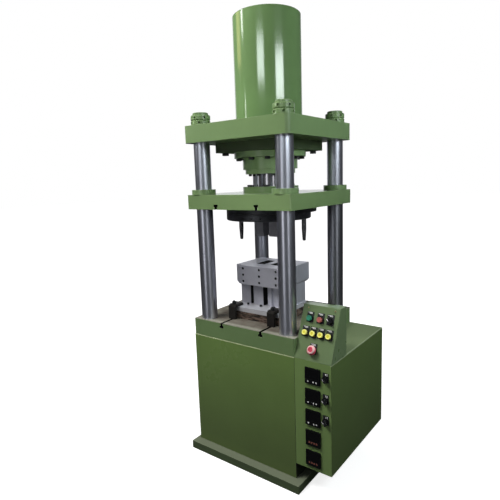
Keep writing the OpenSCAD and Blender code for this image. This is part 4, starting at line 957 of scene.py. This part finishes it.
# %% Places on the fronts
X, Y, Z = Vector((1, 0, 0)), Vector((0, 1, 0)), Vector((0, 0, 1))
out_face = Vector(next(j["axis"] for j in frame["joints"] if j["name"] == "green_button_press"))
up_face = out_face.cross(X)
if up_face.z < 0:
    up_face = -up_face
face_foot = Vector((console_low.x, console_low.y, console_low.z))
PANEL_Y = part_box("control_cabinet")[0].y


def on_face(u, s, out=0.0):
    """A point on the sloped face: u from its left edge, s up the slope, out of it, in mm."""
    return face_foot + X * (u / 1000) + up_face * (s / 1000) + out_face * (out / 1000)


def moved(point, x, y, z):
    """A point moved by millimetres along the three axes."""
    return point + Vector((x, y, z)) / 1000


panel_selectors = {}
for i in range(3):
    name = "panel_selector_%d" % (i + 1)
    low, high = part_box(name)
    panel_selectors[name] = Vector(((low.x + high.x) / 2, PANEL_Y, (low.z + high.z) / 2))
print("face normal:", [round(c, 3) for c in out_face], "selectors:", len(panel_selectors))

# %% [markdown]
# ### Printed marks
# Each button has a black legend plate with a few white words above the button. They are far
# too small to read, so two short strokes stand for two lines of words. The selectors on the
# panel have figures above and beside the knob, which are strokes as well; the two above the knob
# are drawn large, so that they also stand for glints on the knob, as painted highlights.

# %% Printed marks
START_ROW, YELLOW_ROW, STOP_ROW = 180, 116, 46
START_COLUMNS, STOP_COLUMN, FIRST_YELLOW, YELLOW_STEP = (43, 94, 141), 84, 33, 38.3
BUTTONS = [(u, START_ROW) for u in START_COLUMNS] + [(STOP_COLUMN, STOP_ROW)]
BUTTONS += [(FIRST_YELLOW + YELLOW_STEP * k, YELLOW_ROW) for k in range(4)]
PLATE, INK, LINE_HEIGHT = 1.0, 0.15, 2.1
WORD_LINES = ((-3, 26.5, 21), (1, 22.5, 15))
# the first two strokes stand for printed figures and, drawn large, for glints on the knob as painted
# highlights
FIGURES_AND_GLINTS = ((0.5, 19.0, 3.8, 9), (6.5, 19.0, 3.8, 9), (-11.5, -3, 2.4, 7), (-8.5, -7.5, 6, 2.4))

marks = []
for u, s in BUTTONS:
    for across, up, width in WORD_LINES:
        spot = on_face(u + across, s + up, PLATE)
        marks.append((spot, X, up_face, out_face, width, LINE_HEIGHT, INK))
tiles("console_marks", white_print, "frame", marks)

selector_marks = []
for middle in panel_selectors.values():
    for across, up, width, height in FIGURES_AND_GLINTS:
        selector_marks.append((moved(middle, across, -PLATE, up), X, Z, -Y, width, height, INK))
tiles("selector_marks", white_print, "frame", selector_marks)
print("marks:", len(marks) + len(selector_marks))

# %% [markdown]
# ### Instrument windows, keys and digits
# Three controllers and two timers sit in one column. A controller has a dark pane and three
# white keys; a timer has a dark pane over a row of four dim red digit wheels. The panes lie in
# the recess of each front, so their places are worked out from the instruments' own bounds.

# %% Instrument windows, keys and digits
UNIT = 72.0
PANE, PANE_THICK, PANE_UP, PANE_SUNK = (59.4, 39.4), 1.2, 8, 2.0
KEY, KEY_THICK, KEY_DROP, KEY_LEDGE = 6.2, 0.5, 25, 1.0
KEY_PLACES = (-20, 6, 20)
WHEEL, WHEEL_THICK, WHEEL_STEP, WHEEL_DROP, WHEEL_SUNK = (8.2, 9.2), 1.3, 12, 20, 1.9

units_low, units_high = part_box("controllers")
unit_step = (units_high.z - units_low.z - UNIT / 1000) / 2
front_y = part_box("timers")[0].y
windows, keys, digits = [], [], []
for i in range(5):
    centre_z = units_high.z - UNIT / 2000 - i * unit_step
    middle = Vector(((units_low.x + units_high.x) / 2, front_y, centre_z))
    windows.append((moved(middle, 0, PANE_SUNK, PANE_UP), X, Z, -Y, *PANE, PANE_THICK))
    if i < 3:
        for x in KEY_PLACES:
            keys.append((moved(middle, x, -KEY_LEDGE, -KEY_DROP), X, Z, -Y, KEY, KEY, KEY_THICK))
    else:
        for k in range(4):
            spot = moved(middle, (k - 1.5) * WHEEL_STEP, WHEEL_SUNK, -WHEEL_DROP)
            digits.append((spot, X, Z, -Y, *WHEEL, WHEEL_THICK))
tiles("instrument_windows", dark_window, "frame", windows)
tiles("controller_keys", white_print, "frame", keys, bevel=1.6)
tiles("timer_digits", red_digits, "frame", digits)
print("windows:", len(windows), "keys:", len(keys), "digits:", len(digits))

# %% [markdown]
# ### Pointer lines
# A selector's bar carries a white line that shows which way it points; all four stand turned to
# the upper left. The line has to turn with its knob, so each is a piece of its own that rides on
# that knob's body.

# %% Pointer lines on the selectors
LINE, LINE_OFFSET = (2.8, 12.0), 5.5
DIAGONAL = cos(radians(45))
knob_top = PANEL_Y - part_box("panel_selector_1")[0].y


def pointer_line(name, centre, up, out):
    """A white line on a selector's bar, which stands turned to the upper left."""
    along = (X + up) * DIAGONAL
    pointing = (up - X) * DIAGONAL
    middle = centre + out * knob_top + pointing * (LINE_OFFSET / 1000)
    tiles(name + "_line", white_print, name, [(middle, along, pointing, out, *LINE, INK)])


pointer_line("console_selector", on_face(START_COLUMNS[-1], START_ROW), up_face, out_face)
for name, middle in panel_selectors.items():
    pointer_line(name, middle, Z, -Y)
print("pointer lines:", 1 + len(panel_selectors))

# %% [markdown]
# ## Face screws
# Two round-headed screws hold the console's face plate near its top corners. A head is a turned
# dome with a sawn slot. A sphere with a cut would do, but spinning two half domes from a short
# profile, with the slot left open between them, needs no cut and gives clean quads.

# %% Face screws
SCREW_RADIUS, SCREW_HEIGHT, SAWN = 4.2, 2.2, 1.0
SCREW_PLACES, SCREW_ROW = (26, 156), 227
TURNS, RINGS, MERGE = 24, 4, 0.00002


def slotted_screw(centre, radius, height, slot_width):
    """A domed head with a sawn slot, as one mesh facing out of the console; sizes in mm."""
    mesh = bmesh.new()
    for half in (-1, 1):
        rows = []
        for r in range(RINGS + 1):
            angle = r / RINGS * pi / 2
            row = []
            for k in range(TURNS + 1):
                swing = pi * k / TURNS
                x = radius * cos(angle) * cos(swing)
                y = half * max(radius * cos(angle) * sin(swing), slot_width / 2)
                spot = X * x + up_face * y + out_face * (height * sin(angle))
                row.append(mesh.verts.new(centre + spot / 1000))
            rows.append(row)
        for low, high in zip(rows, rows[1:]):
            for k in range(TURNS):
                quad = (low[k], low[k + 1], high[k + 1], high[k])
                mesh.faces.new(quad if half > 0 else tuple(reversed(quad)))
    bmesh.ops.remove_doubles(mesh, verts=mesh.verts, dist=MERGE)
    data = bpy.data.meshes.new("face_screw")
    mesh.to_mesh(data)
    mesh.free()
    return data


for number, u in enumerate(SCREW_PLACES):
    data = slotted_screw(on_face(u, SCREW_ROW), SCREW_RADIUS, SCREW_HEIGHT, SAWN)
    data.materials.append(yellow_zinc)
    screw = bpy.data.objects.new("face_screw_%d" % (number + 1), data)
    scene.collection.objects.link(screw)
    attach(screw, "frame")
print("face screws:", len(SCREW_PLACES))

# %% [markdown]
# ## The studio sky
# The press stands before white. A sky that is white to every ray would flood the paint with
# light and turn the chrome white. So rays straight from the camera, or through something clear,
# meet white. Glossy rays meet white only in the direction behind the press and a dim sky
# elsewhere, and all other rays meet a weak grey sky that softens the shadows.

# %% Sky
BACKDROP_WAY = Vector((-sin(TURN), cos(TURN), 0.0))
MIRROR_DIM, SOFT_LIGHT = 0.08, 0.13
MIRROR_TINT, SOFT_TINT = rgb(0.96, 0.97, 1.0), rgb(0.96, 0.98, 1.0)

world = bpy.data.worlds.new("studio")
scene.world = world
world.use_nodes = True
sky = world.node_tree
sky.nodes.clear()
seen = put(sky, "LightPath")
straight = put(sky, "Math", {"operation": "MAXIMUM"},
               i0=seen.outputs["Is Camera Ray"], i1=seen.outputs["Is Transmission Ray"])
white_sky = put(sky, "Background", {"Color": rgb(1, 1, 1), "Strength": 1.0})
way = put(sky, "TexCoord")
behind = put(sky, "VectorMath", {"operation": "DOT_PRODUCT", 1: BACKDROP_WAY}, i0=way.outputs["Generated"])
mirrored = ramp(sky, behind.outputs["Value"], 0.80, 0.96, MIRROR_DIM, 1.0)
mirror_sky = put(sky, "Background", {"Color": MIRROR_TINT}, Strength=mirrored)
dim_sky = put(sky, "Background", {"Color": SOFT_TINT, "Strength": SOFT_LIGHT})
lit = put(sky, "MixShader", i0=seen.outputs["Is Glossy Ray"], i1=dim_sky.outputs[0], i2=mirror_sky.outputs[0])
choose = put(sky, "MixShader", i0=straight.outputs[0], i1=lit.outputs[0], i2=white_sky.outputs[0])
put(sky, "OutputWorld", Surface=choose.outputs[0])
print("sky:", world.name)

# %% [markdown]
# ## The floor
# The floor is one large pale sheet. Seen by the camera it glows to white a little way off, and
# near the press it is dim enough to keep a soft shadow. One plain white would lose that shadow.
# To all other rays the sheet is dark grey, so it throws little light up and the columns mirror
# something dark.

# %% Floor
FLOOR = 30.0
FLOOR_DARK, FLOOR_SEEN = rgb(0.10, 0.10, 0.10), rgb(0.55, 0.55, 0.55)
GLOW_NEAR, GLOW_FAR = rgb(0.80, 0.80, 0.80), rgb(1, 1, 1)
NEAR, FAR = 0.5, 1.3

floor_paint, tree, shader = new_material("studio_floor", roughness=0.9)
shader.inputs["Specular IOR Level"].default_value = 0.1
shader.inputs["Emission Strength"].default_value = 1.0
path = put(tree, "LightPath")
by_camera = path.outputs["Is Camera Ray"]
tree.links.new(mix_colour(tree, by_camera, FLOOR_DARK, FLOOR_SEEN), shader.inputs["Base Color"])
place = put(tree, "TexCoord")
away = put(tree, "VectorMath", {"operation": "LENGTH"}, i0=place.outputs["Object"])
glow = mix_colour(tree, ramp(tree, away.outputs["Value"], NEAR, FAR), GLOW_NEAR, GLOW_FAR)
tree.links.new(mix_colour(tree, by_camera, rgb(0, 0, 0), glow), shader.inputs["Emission Color"])

floor_corners = [(-FLOOR, -FLOOR, 0), (FLOOR, -FLOOR, 0), (FLOOR, FLOOR, 0), (-FLOOR, FLOOR, 0)]
data = bpy.data.meshes.new("floor")
data.from_pydata(floor_corners, [], [(0, 1, 2, 3)])
data.materials.append(floor_paint)
sheet = bpy.data.objects.new("floor", data)
scene.collection.objects.link(sheet)
sheet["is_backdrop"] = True
print("floor:", 2 * FLOOR, "m wide")

# %% [markdown]
# ## Lamps and reflection cards
# Soft lamps light the paint, and cards show only in gloss. A plain lamp does both at once, but
# then a brighter stripe on the cylinder would also brighten the whole press. Kept apart, each
# can be set by itself: the lamps by the tone of the faces, the cards by the stripes on the
# cylinder and the columns. A card's angle is measured round the press from the X axis.

# %% Lamps
WHITE, COOL, WARM, SKY = (1.0, 1.0, 1.0), (0.83, 0.98, 1.0), (1.0, 0.80, 0.34), (0.92, 1.0, 1.0)
CARD_AWAY = 3.5


def lamp(name, place, aim, size, watts, diffuse=True, glossy=False, tint=WHITE, spread=180):
    """A rectangular soft light that looks at a point; it may light surfaces, show in gloss, or both."""
    light = bpy.data.lights.new(name, "AREA")
    light.shape = "RECTANGLE"
    light.size, light.size_y = size
    light.energy = watts
    light.color = tint
    light.spread = radians(spread)
    holder = bpy.data.objects.new(name, light)
    look = Vector(aim) - Vector(place)
    holder.matrix_world = Matrix.Translation(place) @ look.to_track_quat("-Z", "Y").to_matrix().to_4x4()
    holder.visible_diffuse = diffuse
    holder.visible_glossy = glossy
    scene.collection.objects.link(holder)


def reflection_card(name, angle, low, high, width, radiance, tint=WHITE):
    """A bright upright card that only shows in glossy surfaces, at an angle in degrees round the press."""
    middle = (low + high) / 2
    spot = (CARD_AWAY * cos(radians(angle)), CARD_AWAY * sin(radians(angle)), middle)
    watts = radiance * pi * width * (high - low)
    lamp(name, spot, (0, 0, middle), (width, high - low), watts, diffuse=False, glossy=True, tint=tint)


lamp("ceiling", (-1.06, -1.58, 3.35), aim=(0.0, 0.0, 1.2), size=(1.5, 1.1), watts=106)
lamp("right_fill", (2.6, -0.9, 2.9), aim=(0.2, 0.0, 0.8), size=(1.2, 1.0), watts=22)
lamp("right_high", (1.7, 0.1, 2.0), aim=(0.2, 0.0, 1.4), size=(0.8, 0.8), watts=14.5, tint=COOL)
lamp("under_crown", (0.9, -1.5, 0.9), aim=(0.0, 0.0, 1.40), size=(0.5, 0.5), watts=0.36, spread=28)
lamp("back_fill", (-1.6, 2.8, 2.2), aim=(0.0, 0.3, 0.9), size=(1.4, 1.2), watts=24)
lamp("left_fill", (-2.4, -0.8, 2.6), aim=(0.0, 0.0, 1.95), size=(0.8, 0.8), watts=1.5, spread=36)
reflection_card("left_low_window", -139, low=1.95, high=2.4, width=0.14, radiance=14)
reflection_card("left_high_window", -143, low=3.1, high=3.7, width=0.40, radiance=16)
reflection_card("left_wall", -163, low=2.75, high=3.8, width=1.3, radiance=2.4, tint=WARM)
reflection_card("front_window", -78, low=2.55, high=3.05, width=1.35, radiance=13.5, tint=SKY)
reflection_card("right_window", -17, low=2.3, high=2.9, width=1.65, radiance=16, tint=SKY)
reflection_card("front_wall", -92, low=0.0, high=1.9, width=0.9, radiance=1.3)
reflection_card("front_wall_foot", -92, low=0.1, high=0.8, width=0.9, radiance=0.4)
reflection_card("right_wall", -30, low=0.0, high=1.9, width=0.6, radiance=1.1)

# %% [markdown]
# ## Keeping the size
# Dressing is meant to keep the machine within its size, so the box round everything shown is
# printed at the end.

# %% Finish
low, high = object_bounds()
print("box:", [round(c, 4) for c in low], [round(c, 4) for c in high])
